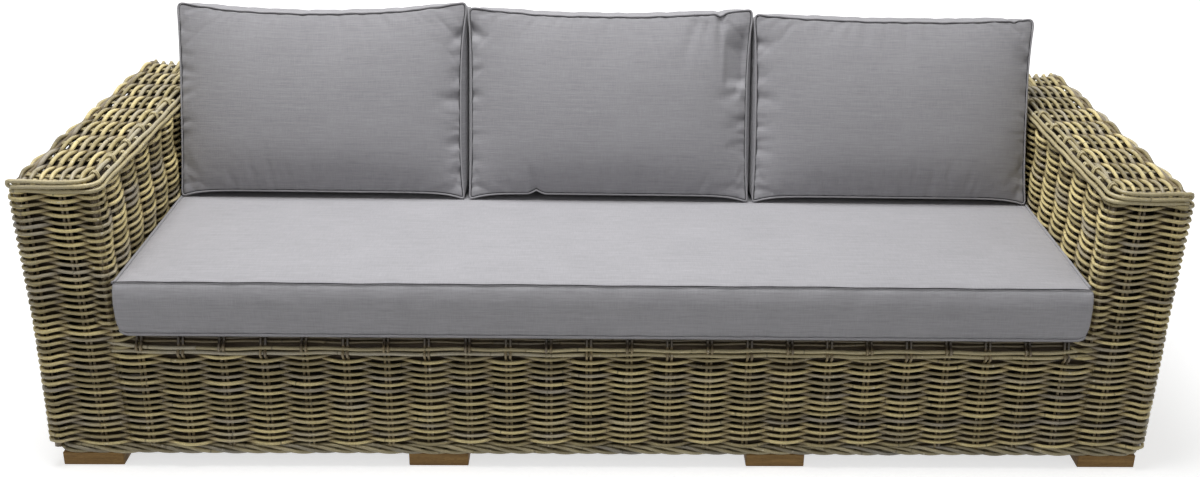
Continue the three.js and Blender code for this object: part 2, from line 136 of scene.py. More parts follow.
def weighted(tree, parts, total=0.0):
    for value, weight in parts:
        total = calculate(tree, "ADD", total, calculate(tree, "MULTIPLY", value, weight))
    return total


def stretched(tree, place, scale):
    return addNode(tree, "ShaderNodeVectorMath", {0: place, 1: scale}, operation="MULTIPLY").outputs[0]


def noise(tree, place, scale=1.0, detail=2.0, roughness=0.5, distortion=0.0):
    return addNode(tree, "ShaderNodeTexNoise", {
        "Vector": place, "Scale": scale, "Detail": detail, "Roughness": roughness,
        "Distortion": distortion}).outputs["Fac"]


def newGroup(name, inputs):
    group = bpy.data.node_groups.new(name, "ShaderNodeTree")
    for socket, kind in inputs.items():
        group.interface.new_socket(socket, in_out="INPUT", socket_type="NodeSocket" + kind)
    return group, group.nodes.new("NodeGroupInput").outputs


def endGroup(group, results):
    for name in results:
        kind = "NodeSocketColor" if name == "Color" else "NodeSocketFloat"
        group.interface.new_socket(name, in_out="OUTPUT", socket_type=kind)
    node = group.nodes.new("NodeGroupOutput")
    for name, value in results.items():
        group.links.new(value, node.inputs[name])
    return group


def wireUp(tree, shader, look, strength, distance):
    for result, key in (("Color", "Base Color"), ("Roughness", "Roughness")):
        if result in look.outputs:
            tree.links.new(look.outputs[result], shader.inputs[key])
    bump = addNode(tree, "ShaderNodeBump", {
        "Height": look.outputs["Height"], "Strength": strength, "Distance": distance})
    tree.links.new(bump.outputs[0], shader.inputs["Normal"])


def meshFrom(bm, name):
    mesh = bpy.data.meshes.new(name)
    bm.to_mesh(mesh)
    bm.free()
    return mesh


# Floor and light

studio = {
    "floorColour": (0.60, 0.60, 0.60, 1),
    "floorRoughness": 0.9,
    "floorShine": 0.1,
    "floorSize": 30,
    "floorGlow": (1.6, 3.6, 0.68, 1.0),  # as seen: from this far to this far out, from this pale to white
    "worldStrength": 0.25,
    "aim": (0, 0, 0.4),
    "lamps": [
        # name, place, watts, size
        ("softboxTop", (-0.45, -0.12, 3.6), 130, 2.6),
        ("softboxLeft", (-3.0, -2.8, 2.0), 5, 1.6),
        ("softboxRight", (3.0, -2.8, 2.0), 5, 1.6),
    ],
}


def seenDirectly(tree):
    rays = tree.nodes.new("ShaderNodeLightPath")
    seen = calculate(tree, "MAXIMUM", rays.outputs["Is Camera Ray"], rays.outputs["Is Glossy Ray"])
    return calculate(tree, "MAXIMUM", seen, rays.outputs["Is Transmission Ray"])


def addStudio(s):
    bm = bmesh.new()
    bmesh.ops.create_grid(bm, x_segments=1, y_segments=1, size=s["floorSize"] / 2)
    mesh = meshFrom(bm, "floor")
    # The floor looks near white and keeps its shadow, but throws back less light than white would
    material, tree, shader = freshMaterial("paleFloor", {
        "Base Color": s["floorColour"], "Roughness": s["floorRoughness"],
        "Specular IOR Level": s["floorShine"], "Emission Color": (1, 1, 1, 1)})
    near, far, pale, white = s["floorGlow"]
    place = addNode(tree, "ShaderNodeTexCoord").outputs["Object"]
    distance = addNode(tree, "ShaderNodeVectorMath", {0: place}, operation="LENGTH").outputs["Value"]
    glow = addNode(tree, "ShaderNodeMapRange", {
        "Value": distance, "From Min": near, "From Max": far, "To Min": pale, "To Max": white}).outputs[0]
    tree.links.new(calculate(tree, "MULTIPLY", glow, seenDirectly(tree)), shader.inputs["Emission Strength"])
    mesh.materials.append(material)
    addLinked("floor", mesh)

    # The camera sees a white backdrop, and the object is lit by less of it
    world = bpy.data.worlds.new("studio")
    world.use_nodes = True
    tree = world.node_tree
    background = tree.nodes["Background"]
    background.inputs["Color"].default_value = (1, 1, 1, 1)
    strength = calculate(tree, "MAXIMUM", seenDirectly(tree), s["worldStrength"])
    tree.links.new(strength, background.inputs["Strength"])
    scene.world = world

    for name, place, watts, size in s["lamps"]:
        lamp = bpy.data.lights.new(name, "AREA")
        lamp.energy = watts
        lamp.shape = "DISK"
        lamp.size = size
        holder = addLinked(name, lamp)
        holder.location = place
        holder.rotation_euler = (Vector(s["aim"]) - Vector(place)).to_track_quat("-Z", "Y").to_euler()


addStudio(studio)
scene.view_settings.view_transform = "Standard"
print("studio set")


# Rattan cane: each cane has its own tone, runs along its length in metres, and carries knuckles,
# long streaks and pale chips, and painted shade where it lies back in the weave

def makeCaneGroup():
    group, given = newGroup("caneBark", {
        "Tone": "Float", "Along": "Float", "Recess": "Float",
        "Light": "Color", "Dark": "Color", "Grey": "Color"})
    tone, along = given["Tone"], given["Along"]
    place = addNode(group, "ShaderNodeTexCoord").outputs["Object"]
    # Blotches change slowly along a cane, and the bark has a fine speckle and streaks round it
    lengthwise = addNode(group, "ShaderNodeCombineXYZ", {
        "X": calculate(group, "MULTIPLY", along, 7.0),
        "Y": calculate(group, "MULTIPLY", tone, 83.0)}).outputs[0]
    blotch = noise(group, lengthwise, detail=3.0, roughness=0.6)
    speckle = noise(group, place, scale=420.0, roughness=0.6)
    streak = noise(group, stretched(group, place, (60.0, 60.0, 700.0)), detail=3.0, roughness=0.65)
    level = weighted(group, [(blotch, 0.9), (tone, 0.75), (streak, 0.5)])
    level = calculate(group, "SUBTRACT", level, 0.58, clamp=True)
    colour = mixColours(group, level, given["Dark"], given["Light"])
    # Some canes are weathered grey
    greyPick = addNode(group, "ShaderNodeTexWhiteNoise", {"W": tone}, noise_dimensions="1D").outputs["Value"]
    grey = weighted(group, [(greyPick, 1.0), (noise(group, place, scale=9.0), 0.9)])
    grey = addRamp(group, calculate(group, "MULTIPLY", grey, 0.6), [
        (0.7, (0, 0, 0)), (0.86, (0.75, 0.75, 0.75))])
    colour = mixColours(group, grey, colour, given["Grey"])
    # Knuckles are dark rings
    knuckle = calculate(group, "FRACT", weighted(group, [(along, 3.1), (tone, 17.0)]))
    ring = addRamp(group, knuckle, [
        (0.0, (0, 0, 0)), (0.008, (1, 1, 1)), (0.016, (0, 0, 0)), (0.03, (0, 0, 0))])
    colour = mixColours(group, calculate(group, "MULTIPLY", ring, 0.7), colour, (0.08, 0.065, 0.045, 1))
    # Worn pale chips
    chip = addRamp(group, noise(group, place, scale=75.0, detail=4.0), [(0.67, (0, 0, 0)), (0.72, (1, 1, 1))])
    colour = mixColours(group, calculate(group, "MULTIPLY", chip, 0.75), colour, (0.78, 0.72, 0.56, 1))
    shade = addRamp(group, speckle, [(0.2, (0.72, 0.72, 0.72)), (0.8, (1.15, 1.15, 1.15))])
    colour = mixColours(group, 1.0, colour, shade, "MULTIPLY")
    # Painted shade: a cane is darkened where it lies back in the weave, where shade falls
    paintedRecessShade = addRamp(group, given["Recess"], [
        (0.25, (1, 1, 1)), (0.5, (0.42, 0.38, 0.33)), (0.72, (0.12, 0.105, 0.09))])
    return endGroup(group, {
        "Color": mixColours(group, 1.0, colour, paintedRecessShade, "MULTIPLY"),
        "Roughness": weighted(group, [(streak, 0.32)], 0.28),
        "Height": weighted(group, [(streak, 0.6), (ring, 1.2), (speckle, 0.25)]),
    })


caneBark = makeCaneGroup()

caneFinishes = {
    # name, light, dark, grey
    "rattanCane": ((0.90, 0.755, 0.365, 1), (0.165, 0.131, 0.060, 1), (0.41, 0.372, 0.305, 1)),
    "borderCane": ((0.56, 0.48, 0.28, 1), (0.157, 0.129, 0.073, 1), (0.335, 0.313, 0.27, 1)),
    "stakeCane": ((0.36, 0.28, 0.15, 1), (0.13, 0.095, 0.05, 1), (0.24, 0.20, 0.15, 1)),
    "edgeCane": ((0.68, 0.585, 0.33, 1), (0.27, 0.225, 0.12, 1), (0.42, 0.39, 0.32, 1)),
}


def makeCaneMaterial(name, light, dark, grey):
    material, tree, shader = freshMaterial(
        name, {"Specular IOR Level": 0.5, "Coat Weight": 0.15, "Coat Roughness": 0.22})
    inputs = {"Light": light, "Dark": dark, "Grey": grey}
    for key in ("Tone", "Along", "Recess"):
        inputs[key] = addNode(tree, "ShaderNodeAttribute", attribute_name=key.lower()).outputs["Fac"]
    bark = addNode(tree, "ShaderNodeGroup", inputs, node_tree=caneBark)
    wireUp(tree, shader, bark, 0.35, 0.0006)
    return material


rattan = {name: makeCaneMaterial(name, *colours) for name, colours in caneFinishes.items()}


# Wood of the feet and of the hidden frame

def makeWoodGroup():
    group, given = newGroup("sawnWood", {"Stretch": "Vector", "Light": "Color", "Dark": "Color"})
    place = stretched(group, addNode(group, "ShaderNodeTexCoord").outputs["Object"], given["Stretch"])
    figure = noise(group, place, scale=14.0, detail=5.0, roughness=0.62, distortion=0.6)
    pores = noise(group, place, scale=160.0)
    level = addRamp(group, figure, [(0.3, (0, 0, 0)), (0.7, (1, 1, 1))])
    colour = mixColours(group, level, given["Dark"], given["Light"])
    poreMask = addRamp(group, pores, [(0.32, (0.55, 0.55, 0.55)), (0.5, (1, 1, 1))])
    return endGroup(group, {
        "Color": mixColours(group, 0.8, colour, poreMask, "MULTIPLY"),
        "Roughness": weighted(group, [(pores, 0.25)], 0.45),
        "Height": weighted(group, [(pores, 1.0), (figure, 0.5)]),
    })


sawnWood = makeWoodGroup()


def makeWoodMaterial(name, light, dark, stretch):
    material, tree, shader = freshMaterial(name, {"Specular IOR Level": 0.3})
    grain = addNode(
        tree, "ShaderNodeGroup", {"Light": light, "Dark": dark, "Stretch": stretch}, node_tree=sawnWood)
    wireUp(tree, shader, grain, 0.3, 0.0008)
    return material


footWood = makeWoodMaterial("footWood", (0.44, 0.265, 0.095, 1), (0.23, 0.130, 0.042, 1), (0.7, 3.0, 9.0))
# The frame's wood is near black, as painted shade for the inside of the sofa seen through the weave
frameWoodAlong = {
    axis: makeWoodMaterial("frameWood" + word, (0.11, 0.08, 0.05, 1), (0.05, 0.036, 0.024, 1), stretch)
    for axis, word, stretch in (
        ("x", "Across", (0.5, 5.0, 5.0)), ("y", "Deep", (5.0, 0.5, 5.0)), ("z", "Upright", (5.0, 5.0, 0.5)))}
print("cane and wood materials made")


# Canes as tubes. A strand is a run of points with a radius at each, a tone, where it starts along
# its cane, and how far back in the weave it lies, which sets its painted shade.

tubes = {
    "sides": 6,  # as the curve's bevel makes them
    "endStep": 0.0001,
    "sameEnd": 1e-6,
}


def addObject(name, mesh, material, slot, body, *nodes):
    made = addLinked(name, mesh)
    mesh.materials.clear()
    mesh.materials.append(material)
    if nodes:
        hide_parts(*nodes)
    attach(made, body)
    return made


def addStrand(group, panel, points, radius, tone, start, recess=0.0):
    group.setdefault(panel, []).append({
        "points": np.asarray(points, float), "radius": radius, "tone": tone, "start": start,
        "recess": recess})


def newCurve(name, radius, resolution):
    data = bpy.data.curves.new(name, "CURVE")
    data.dimensions = "3D"
    data.bevel_depth = radius
    data.bevel_resolution = resolution
    return data


def addLine(data, points):
    spline = data.splines.new("POLY")
    spline.points.add(len(points) - 1)
    spline.points.foreach_set("co", np.column_stack((points, np.ones(len(points)))).ravel().astype("f"))
    return spline


def meshOfCurve(name, data):
    holder = addLinked(name, data)
    graph = bpy.context.evaluated_depsgraph_get()
    mesh = bpy.data.meshes.new_from_object(
        holder.evaluated_get(graph), preserve_all_data_layers=True, depsgraph=graph)
    bpy.data.objects.remove(holder)
    bpy.data.curves.remove(data)
    mesh.name = name
    return mesh


def tubeMesh(name, strands, upright):
    data = newCurve(name, 1.0, 1)
    data.twist_mode = "MINIMUM" if upright else "Z_UP"
    layers = {"tone": [], "along": [], "recess": []}
    for strand in strands:
        points = strand["points"]
        count = len(points)
        steps = np.linalg.norm(np.diff(points, axis=0), axis=1)
        values = {
            "tone": np.full(count, strand["tone"]),
            "along": np.concatenate(([0], np.cumsum(steps))) + strand["start"],
            "recess": np.broadcast_to(strand["recess"], count),
        }
        for key, value in values.items():
            layers[key].append(np.repeat(np.concatenate((value[:1], value, value[-1:])), tubes["sides"]))
        # Each tube closes to a point a hair past its ends
        headNudge = (points[0] - points[1]) / max(steps[0], 1e-6) * tubes["endStep"]
        tailNudge = (points[-1] - points[-2]) / max(steps[-1], 1e-6) * tubes["endStep"]
        spline = addLine(data, np.vstack((points[:1] + headNudge, points, points[-1:] + tailNudge)))
        radii = np.concatenate(([0], np.broadcast_to(strand["radius"], count), [0]))
        spline.points.foreach_set("radius", radii.astype("f"))
    mesh = meshOfCurve(name, data)
    for attribute, values in layers.items():
        layer = mesh.attributes.new(attribute, "FLOAT", "POINT")
        layer.data.foreach_set("value", np.concatenate(values).astype("f"))
    bm = bmesh.new()
    bm.from_mesh(mesh)
    ends = [v for v in bm.verts if len(v.link_faces) < 4 and len(v.link_edges) < 4]
    bmesh.ops.remove_doubles(bm, verts=ends, dist=tubes["sameEnd"])
    bm.to_mesh(mesh)
    bm.free()
    mesh.shade_smooth()
    return mesh


# The walls' outline seen from above: a run of points with the direction that faces out, and
# the distance along it

weave = {
    "depth": 0.0115,  # from a face in to the middle of its stakes
    "bottom": 0.0622,
    "rowPitch": 0.00775,
    "caneRadius": 0.0038,
    "offset": 0.0083,  # how far a cane swings out of the stakes' plane
    "bow": 0.0022,  # how far it drops in front of a stake
    "bulge": 0.0014,  # slow waves of the whole wall
    "cornerPush": (0.0112, 0.0022),  # canes lie outside the corner rods, by turns further and nearer
    "cornerRadius": 0.008,
    "innerRadius": 0.020,
    "samples": 7,  # points of a cane between two stakes
    "lowerRows": 28,  # that run on across the apron
    "sweptRows": 36,  # up to this one they run on from an arm's front below the seat cushion
    "armRows": 75,
    "stakeRadius": 0.0029,
    "stakeSpread": 0.0046,  # half the distance between the two rods of a stake
    "cornerLean": 0.0165,  # how far the stakes at an arm's outer front corner lean in at the top
}

walls = {
    "left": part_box("arm_outer_weave_left")[0][0],
    "right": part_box("arm_outer_weave_right")[1][0],
    "front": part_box("front_apron_weave")[0][1],
    "rear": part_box("back_outer_weave")[1][1],
    "armInner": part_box("arm_inner_weave_right")[0][0],
    "backInner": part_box("back_inner_weave")[0][1],
    "apronEnd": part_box("front_apron_weave")[1][0],
    "top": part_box("back_top_weave")[1][2],
    "deck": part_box("seat_deck_weave")[1][2],
    "skinTop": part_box("arm_inner_weave_left")[1][2],
    "bottom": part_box("front_apron_weave")[0][2],
}


def outline(corners, radius, closed=True, arcSteps=8):
    points, normals = [], []
    last = len(corners) - 1
    for i, corner in enumerate(corners):
        corner = Vector(corner)
        if not closed and i in (0, last):
            near = Vector(corners[1 if i == 0 else last - 1])
            ahead = (near - corner if i == 0 else corner - near).normalized()
            points.append(corner)
            normals.append(Vector((ahead.y, -ahead.x)))
            continue
        before = (corner - Vector(corners[i - 1])).normalized()
        after = (Vector(corners[(i + 1) % len(corners)]) - corner).normalized()
        turn = math.atan2(before.cross(after), before.dot(after))
        bend = radius[i] if isinstance(radius, list) else radius
        reach = bend * math.tan(abs(turn) / 2)
        start = corner - before * reach
        side = Vector((-before.y, before.x)) * math.copysign(1, turn)
        centre = start + side * bend
        for step in range(arcSteps + 1):
            spin = Matrix.Rotation(turn * step / arcSteps, 2)
            points.append(centre + spin @ (start - centre))
            ahead = spin @ before
            normals.append(Vector((ahead.y, -ahead.x)))
    if closed:
        points.append(points[0])
        normals.append(normals[0])
    points, normals = np.array(points), np.array(normals)
    lengths = np.concatenate(([0], np.cumsum(np.linalg.norm(np.diff(points, axis=0), axis=1))))
    return {"points": points, "normals": normals, "lengths": lengths, "closed": closed}


def along(path, distances):
    total = path["lengths"][-1]
    d = np.mod(distances, total) if path["closed"] else np.clip(distances, 0, total)
    place = np.column_stack([np.interp(d, path["lengths"], path["points"][:, i]) for i in (0, 1)])
    facing = np.column_stack([np.interp(d, path["lengths"], path["normals"][:, i]) for i in (0, 1)])
    return place, facing / np.linalg.norm(facing, axis=1, keepdims=True)


def distanceOf(path, place):
    fine = np.linspace(0, path["lengths"][-1], 20000)
    points = along(path, fine)[0]
    return float(fine[np.argmin(np.hypot(points[:, 0] - place[0], points[:, 1] - place[1]))])


inset = weave["depth"]
outerLeft, outerRight = walls["left"] + inset, walls["right"] - inset
frontLine, rearLine = walls["front"] + inset, walls["rear"] - inset
seatSide, backLine = walls["armInner"] + inset, walls["backInner"] + inset
lowerPath = outline(
    [(outerRight, rearLine), (outerLeft, rearLine), (outerLeft, frontLine), (outerRight, frontLine)],
    weave["cornerRadius"])
upperPath = outline(
    [(outerRight, rearLine), (outerLeft, rearLine), (outerLeft, frontLine), (-seatSide, frontLine),
     (-seatSide, backLine), (seatSide, backLine), (seatSide, frontLine), (outerRight, frontLine)],
    [weave["cornerRadius"]] * 3 + [weave["innerRadius"]] * 4 + [weave["cornerRadius"]])


def between(start, end, count):
    start, span = np.asarray(start), np.asarray(end) - np.asarray(start)
    return [tuple(start + span * k / count) for k in range(1, count)]


# Stakes in plan, at the foot and at the top of the walls. The columns of an arm's front lean.
stakes = {
    "rear": 27,
    "side": 10,
    "armInner": 8,
    "backInner": 25,
    "apronPitch": 0.086,
    "armFrontFoot": 1.087,
    "armFrontTop": 1.100,
    "apronLast": 0.989,
}
apronColumns = [-stakes["apronLast"] + stakes["apronPitch"] * k for k in range(24)]
cornersOut = [(outerRight, rearLine), (outerLeft, rearLine), (outerLeft, frontLine), (outerRight, frontLine)]
rearRun = [cornersOut[0]] + between(cornersOut[0], cornersOut[1], stakes["rear"])
leftRun = [cornersOut[1]] + between(cornersOut[1], cornersOut[2], stakes["side"])
rightRun = [cornersOut[3]] + between(cornersOut[3], cornersOut[0], stakes["side"])
armFrontFoot, armFrontTop = stakes["armFrontFoot"], stakes["armFrontTop"]
lowerPlan = (
    rearRun + leftRun + [cornersOut[2], (-armFrontFoot, frontLine)]
    + [(x, frontLine) for x in apronColumns] + [(armFrontFoot, frontLine)] + rightRun)
seatCorners = [(-seatSide, frontLine), (-seatSide, backLine), (seatSide, backLine), (seatSide, frontLine)]
upperPlan = (
    rearRun + leftRun + [cornersOut[2], (-armFrontTop, frontLine), seatCorners[0]]
    + between(seatCorners[0], seatCorners[1], stakes["armInner"]) + [seatCorners[1]]
    + between(seatCorners[1], seatCorners[2], stakes["backInner"]) + [seatCorners[2]]
    + between(seatCorners[2], seatCorners[3], stakes["armInner"]) + [seatCorners[3]]
    + [(armFrontTop, frontLine)] + rightRun)


def stationsOf(path, plan):
    places = [distanceOf(path, p) for p in plan]
    total = path["lengths"][-1]
    for i in range(1, len(places)):
        while places[i] < places[i - 1] - 1e-6:
            places[i] += total
    return np.array(places + [places[0] + total])


lowerStations = stationsOf(lowerPath, lowerPlan)
upperStations = stationsOf(upperPath, upperPlan)
print("stakes round the foot", len(lowerPlan), "and round the top", len(upperPlan))

leftCorner = stakes["rear"] + stakes["side"]  # number of the stake at the left front corner
rise = walls["skinTop"] - walls["bottom"]


def leaned(places, path, height, upper):
    share = (height - walls["bottom"]) / rise
    moved = places.copy()
    lean = armFrontTop - armFrontFoot
    cornerX = abs(outerLeft) - weave["cornerLean"] * share
    moved[leftCorner] = distanceOf(path, (-cornerX, frontLine))
    moved[len(places) - 1 - stakes["side"]] = distanceOf(path, (cornerX, frontLine))
    if upper:
        here = -armFrontFoot - lean * share
        moved[leftCorner + 1] = distanceOf(path, (here, frontLine))
        moved[len(upperPlan) - stakes["side"] - 1] = distanceOf(path, (-here, frontLine))
        return moved
    # Towards the top the two outer columns of the apron come out to the arm's inner corner
    for k, foot, top in ((1, armFrontFoot, armFrontTop), (2, stakes["apronLast"], seatSide)):
        here = foot + (top - foot) * share
        moved[leftCorner + k] = distanceOf(path, (-here, frontLine))
        moved[len(lowerPlan) - stakes["side"] - k] = distanceOf(path, (here, frontLine))
    return moved


# Slow unevenness of the hand weaving, the same each run
dice = random.Random(7)
ripples = [(dice.uniform(3, 28), dice.uniform(-40, 40), dice.uniform(0, 6.28)) for k in range(7)]


def unevenness(distance, height):
    return sum(np.sin(a * distance + b * height + c) for a, b, c in ripples) / len(ripples)


# Round a corner, each row has more points, and its canes lie outside the corner rod
cornerZone = {"reach": 0.034, "fade": 0.024, "span": 0.028, "points": 11, "apart": 0.02}


def nearCorners(distance, corners):
    near = np.zeros(len(distance))
    for corner in corners:
        away = np.abs(distance - corner)
        near = np.maximum(near, np.clip((cornerZone["reach"] - away) / cornerZone["fade"], 0, 1))
    return near * near * (3 - 2 * near)


def stepsAlong(places, samples, corners):
    even = np.arange((len(places) - 1) * samples + 1) / samples
    spread = np.linspace(-cornerZone["span"], cornerZone["span"], cornerZone["points"])
    finer = [corner + d for corner in corners for d in spread]
    finer = np.interp([d for d in finer if places[0] < d < places[-1]], places, np.arange(len(places)))
    extra = [step for step in finer if np.min(np.abs(even - step)) > cornerZone["apart"]]
    return np.sort(np.concatenate((even, extra)))


# How uneven a row is: its swing, its height in slow and in quick waves, and its girth
handwork = {"swing": 0.16, "slow": 1.6, "quick": 0.0004, "girth": 0.05}
caneGirth = (0.92, 1.07)  # from cane to cane


def wovenRow(
        path, places, height, row, samples, cane, offset, wobble=0.0014, endFade=0.0, bow=0.0, bulge=0.0,
        corners=()):
    count = len(places) - 1
    steps = stepsAlong(places, samples, corners)
    stake = np.minimum(steps.astype(int), count - 1)
    share = steps - stake
    distance = places[stake] + (places[stake + 1] - places[stake]) * share
    sign = np.where((stake + row) % 2 == 0, 1.0, -1.0)
    swing = np.cos(np.pi * share)
    place, facing = along(path, distance)
    firm = 1 + handwork["swing"] * unevenness(distance * 2.1 + row * 3.7, height * 9)
    out = sign * swing * offset * firm
    out += bulge * (np.sin(distance * 5.1 + height * 38 + 0.7) + np.sin(distance * 9.7 - height * 61 + 2.1))
    near = nearCorners(distance, corners)
    push, turns = weave["cornerPush"]
    out = out * (1 - near) + near * (push + turns * sign * swing)
    if endFade:
        toEnd = np.minimum(distance - places[0], places[-1] - distance)
        out *= np.clip(toEnd / endFade, 0, 1)
    slow = wobble * unevenness(distance, height) * handwork["slow"]
    quick = handwork["quick"] * np.sin(distance * 31 + row * 2.3)
    points = np.column_stack((place + facing * out[:, None], height - bow * sign * swing + slow + quick))
    radius = cane * (1 + handwork["girth"] * np.sin(distance * 9 + row * 1.7))
    front = sign * swing * (1 - near) + 0.6 * near
    stakeAt = np.searchsorted(steps, np.arange(count + 1) - 1e-9)
    return {"points": points, "radius": radius, "distance": distance, "front": front, "stakeAt": stakeAt}


def cutToCanes(run, dice, shortest=6, longest=20, endsInFront=0.05):
    stakeAt = run["stakeAt"]
    cuts, here = [0], dice.randint(1, longest)
    while here < len(stakeAt) - 1:
        hidden = run["front"][stakeAt[here]] < 0
        if hidden or dice.random() < endsInFront:
            cuts.append(int(stakeAt[here]))
            here += dice.randint(shortest, longest)
        else:
            here += 1
    cuts.append(len(run["points"]) - 1)
    return [{"from": a, "to": b, "tone": dice.random(), "girth": dice.uniform(*caneGirth)}
            for a, b in zip(cuts[:-1], cuts[1:])]


panels = {}  # strands of each panel, by the CAD node that they replace
rods = {}  # stakes and rods
edgeCanes = {}
plaits = {}  # canes of the border round the foot


def addToPanels(run, canes, borders):
    distance, points = run["distance"], run["points"]
    for cane in canes:
        a, b = cane["from"], cane["to"]
        for low, high, name in borders:
            inside = np.nonzero((distance[a:b + 1] >= low - 1e-9) & (distance[a:b + 1] <= high + 1e-9))[0]
            if name is None or len(inside) < 2:
                continue
            first, last = a + inside[0], a + inside[-1]
            if last < b and distance[last] < high:
                last += 1  # one point past the border, so that the next panel's piece meets it
            start = float(np.linalg.norm(np.diff(points[a:first + 1], axis=0), axis=1).sum())
            addStrand(
                panels, name, points[first:last + 1], run["radius"][first:last + 1] * cane["girth"],
                cane["tone"], start, (1 - run["front"][first:last + 1]) / 2)


def bordersOf(path, marks):
    total = path["lengths"][-1]
    places = [(distanceOf(path, place), name) for place, name in marks]
    base = places[0][0]
    ordered = [((d - base) % total + base, name) for d, name in places]
    ends = [d for d, name in ordered[1:]] + [base + total]
    return [(low, high, name) for (low, name), high in zip(ordered, ends)]


def wallBorders(path, frontMarks):
    return bordersOf(path, [
        (cornersOut[0], "back_outer_weave"), (cornersOut[1], "arm_outer_weave_left"),
        (cornersOut[2], "arm_front_weave_left"), *frontMarks, (cornersOut[3], "arm_outer_weave_right")])


# The rows that run on below the seat cushion sweep up and back, and end under it
sweep = {"from": 1.062, "length": 0.080, "lift": 0.018, "fullAfter": 4, "back": 0.022, "end": 0.986}
apronEnd = walls["apronEnd"]
lowerBorders = wallBorders(lowerPath, [
    ((-apronEnd, frontLine), "front_apron_weave"), ((apronEnd, frontLine), "arm_front_weave_right")])
sweptBorders = wallBorders(lowerPath, [
    ((-sweep["end"], frontLine), None), ((sweep["end"], frontLine), "arm_front_weave_right")])
upperBorders = wallBorders(upperPath, [
    (seatCorners[0], "arm_inner_weave_left"), (seatCorners[1], "back_inner_weave"),
    (seatCorners[2], "arm_inner_weave_right"), (seatCorners[3], "arm_front_weave_right")])


def sweptBelow(points, s, lift):
    front = points[:, 1] < frontLine + 0.03
    share = np.where(front, np.clip((s["from"] - np.abs(points[:, 0])) / s["length"], 0, 1), 0)
    return points + np.column_stack((share * 0, s["back"] * share ** 2, lift * share ** 2))


# The outer walls of the arms aren't quite plumb: how far each stands out at its top and its foot
flare = {"middle": 0.33, "topOut": (0.0090, 0.0095), "footOut": (0.0050, -0.0045), "shape": (1.3, 1.5)}


def flared(points, f):
    points = np.array(points, float)
    x, z = points[:, 0], points[:, 2]
    outward = np.clip((np.abs(x) - walls["armInner"]) / (walls["right"] - walls["armInner"]), 0, 1)
    upper = np.clip((z - f["middle"]) / (walls["top"] - f["middle"]), 0, 1) ** f["shape"][0]
    lower = np.clip((f["middle"] - z) / (f["middle"] - walls["bottom"]), 0, 1) ** f["shape"][1]
    move = upper * np.where(x < 0, *f["topOut"]) + lower * np.where(x < 0, *f["footOut"])
    points[:, 0] += np.sign(x) * outward * move
    return points


def weaveWalls(w):
    dice = random.Random(21)
    levels = []
    for path, stations in ((upperPath, upperStations), (lowerPath, lowerStations)):
        corners = [distanceOf(path, corner) for corner in cornersOut]
        levels.append((path, stations, corners + [corners[0] + path["lengths"][-1]]))
    for row in range(w["armRows"]):
        below = row < w["sweptRows"]
        path, stations, corners = levels[below]
        height = w["bottom"] + w["rowPitch"] * row
        run = wovenRow(
            path, leaned(stations, path, height, not below), height, row, w["samples"], w["caneRadius"],
            w["offset"], bow=w["bow"], bulge=w["bulge"], corners=corners)
        borders = lowerBorders if below else upperBorders
        if w["lowerRows"] <= row < w["sweptRows"]:
            borders = sweptBorders
            lift = sweep["lift"] * min(1, (row - w["lowerRows"] + 1) / sweep["fullAfter"])
            run["points"] = sweptBelow(run["points"], sweep, lift)
        run["points"] = flared(run["points"], flare)
        addToPanels(run, cutToCanes(run, dice), borders)


weaveWalls(weave)
print("walls woven:", {name: len(strands) for name, strands in panels.items()})


# Tops of the arms and the back: canes run lengthwise over stakes that lie across. A profile is
# the outline across a top, from its seat side out and down over the outer edge.

tops = {
    "edgeRadius": 0.008,
    "edgeOut": 0.0065,  # the outer edge stands out and up a little
    "edgeUp": 0.0055,
    "edgeSlope": 0.045,
    "raised": 0.0015,
    "pitch": 0.0096,
    "caneRadius": 0.0045,
    "offset": 0.0076,
    "edgeOffset": 0.0016,  # more swing at the outer edge
    "seatSideGap": 0.037,  # left for the edge canes
    "endDrop": 0.016,
    "backEndGap": 0.003,  # between the canes of the back's top and those of the arms' tops
    "stakesFirst": -0.405,
    "stakesPitch": 0.1,
    "stakeCount": 9,
    "stakeToEnd": 0.02,  # the last stake of the back's top stands this far from its end, or more
    "endBend": 0.014,
    "wobble": 0.0016,
    "endFade": 0.014,
}
topLine = walls["top"] - inset
sideTop = weave["bottom"] + weave["rowPitch"] * (weave["armRows"] - 1)


def topProfile(seatEdge, outerEdge, t):
    level, edge = topLine + t["raised"], outerEdge - t["edgeOut"]
    return outline(
        [(seatEdge, level), (edge + t["edgeSlope"], level), (edge, level + t["edgeUp"]), (edge, sideTop)],
        t["edgeRadius"], closed=False)


def stripsOver(profile, runPath, places, toWorld, panel, t, seed):
    dice = random.Random(seed)
    reach = profile["lengths"][-1] - weave["rowPitch"]
    count = int(reach / t["pitch"])
    for i in range(count + 1):
        seatToOuter = np.array([i * reach / count])
        place, facing = along(profile, seatToOuter)
        place, facing = place[0], facing[0]
        offset = t["offset"] + t["edgeOffset"] * abs(facing[0])
        run = wovenRow(
            runPath, places, 0.0, i, weave["samples"], t["caneRadius"], offset, wobble=t["wobble"],
            endFade=t["endFade"])
        lengthwise, lift, sideways = run["points"].T
        across = place[0] + facing[0] * lift + facing[1] * sideways
        upward = place[1] + facing[1] * lift - facing[0] * sideways
        run["points"] = toWorld(lengthwise, across, upward)
        addToPanels(run, cutToCanes(run, dice, 3, 9), [(-math.inf, math.inf, panel)])


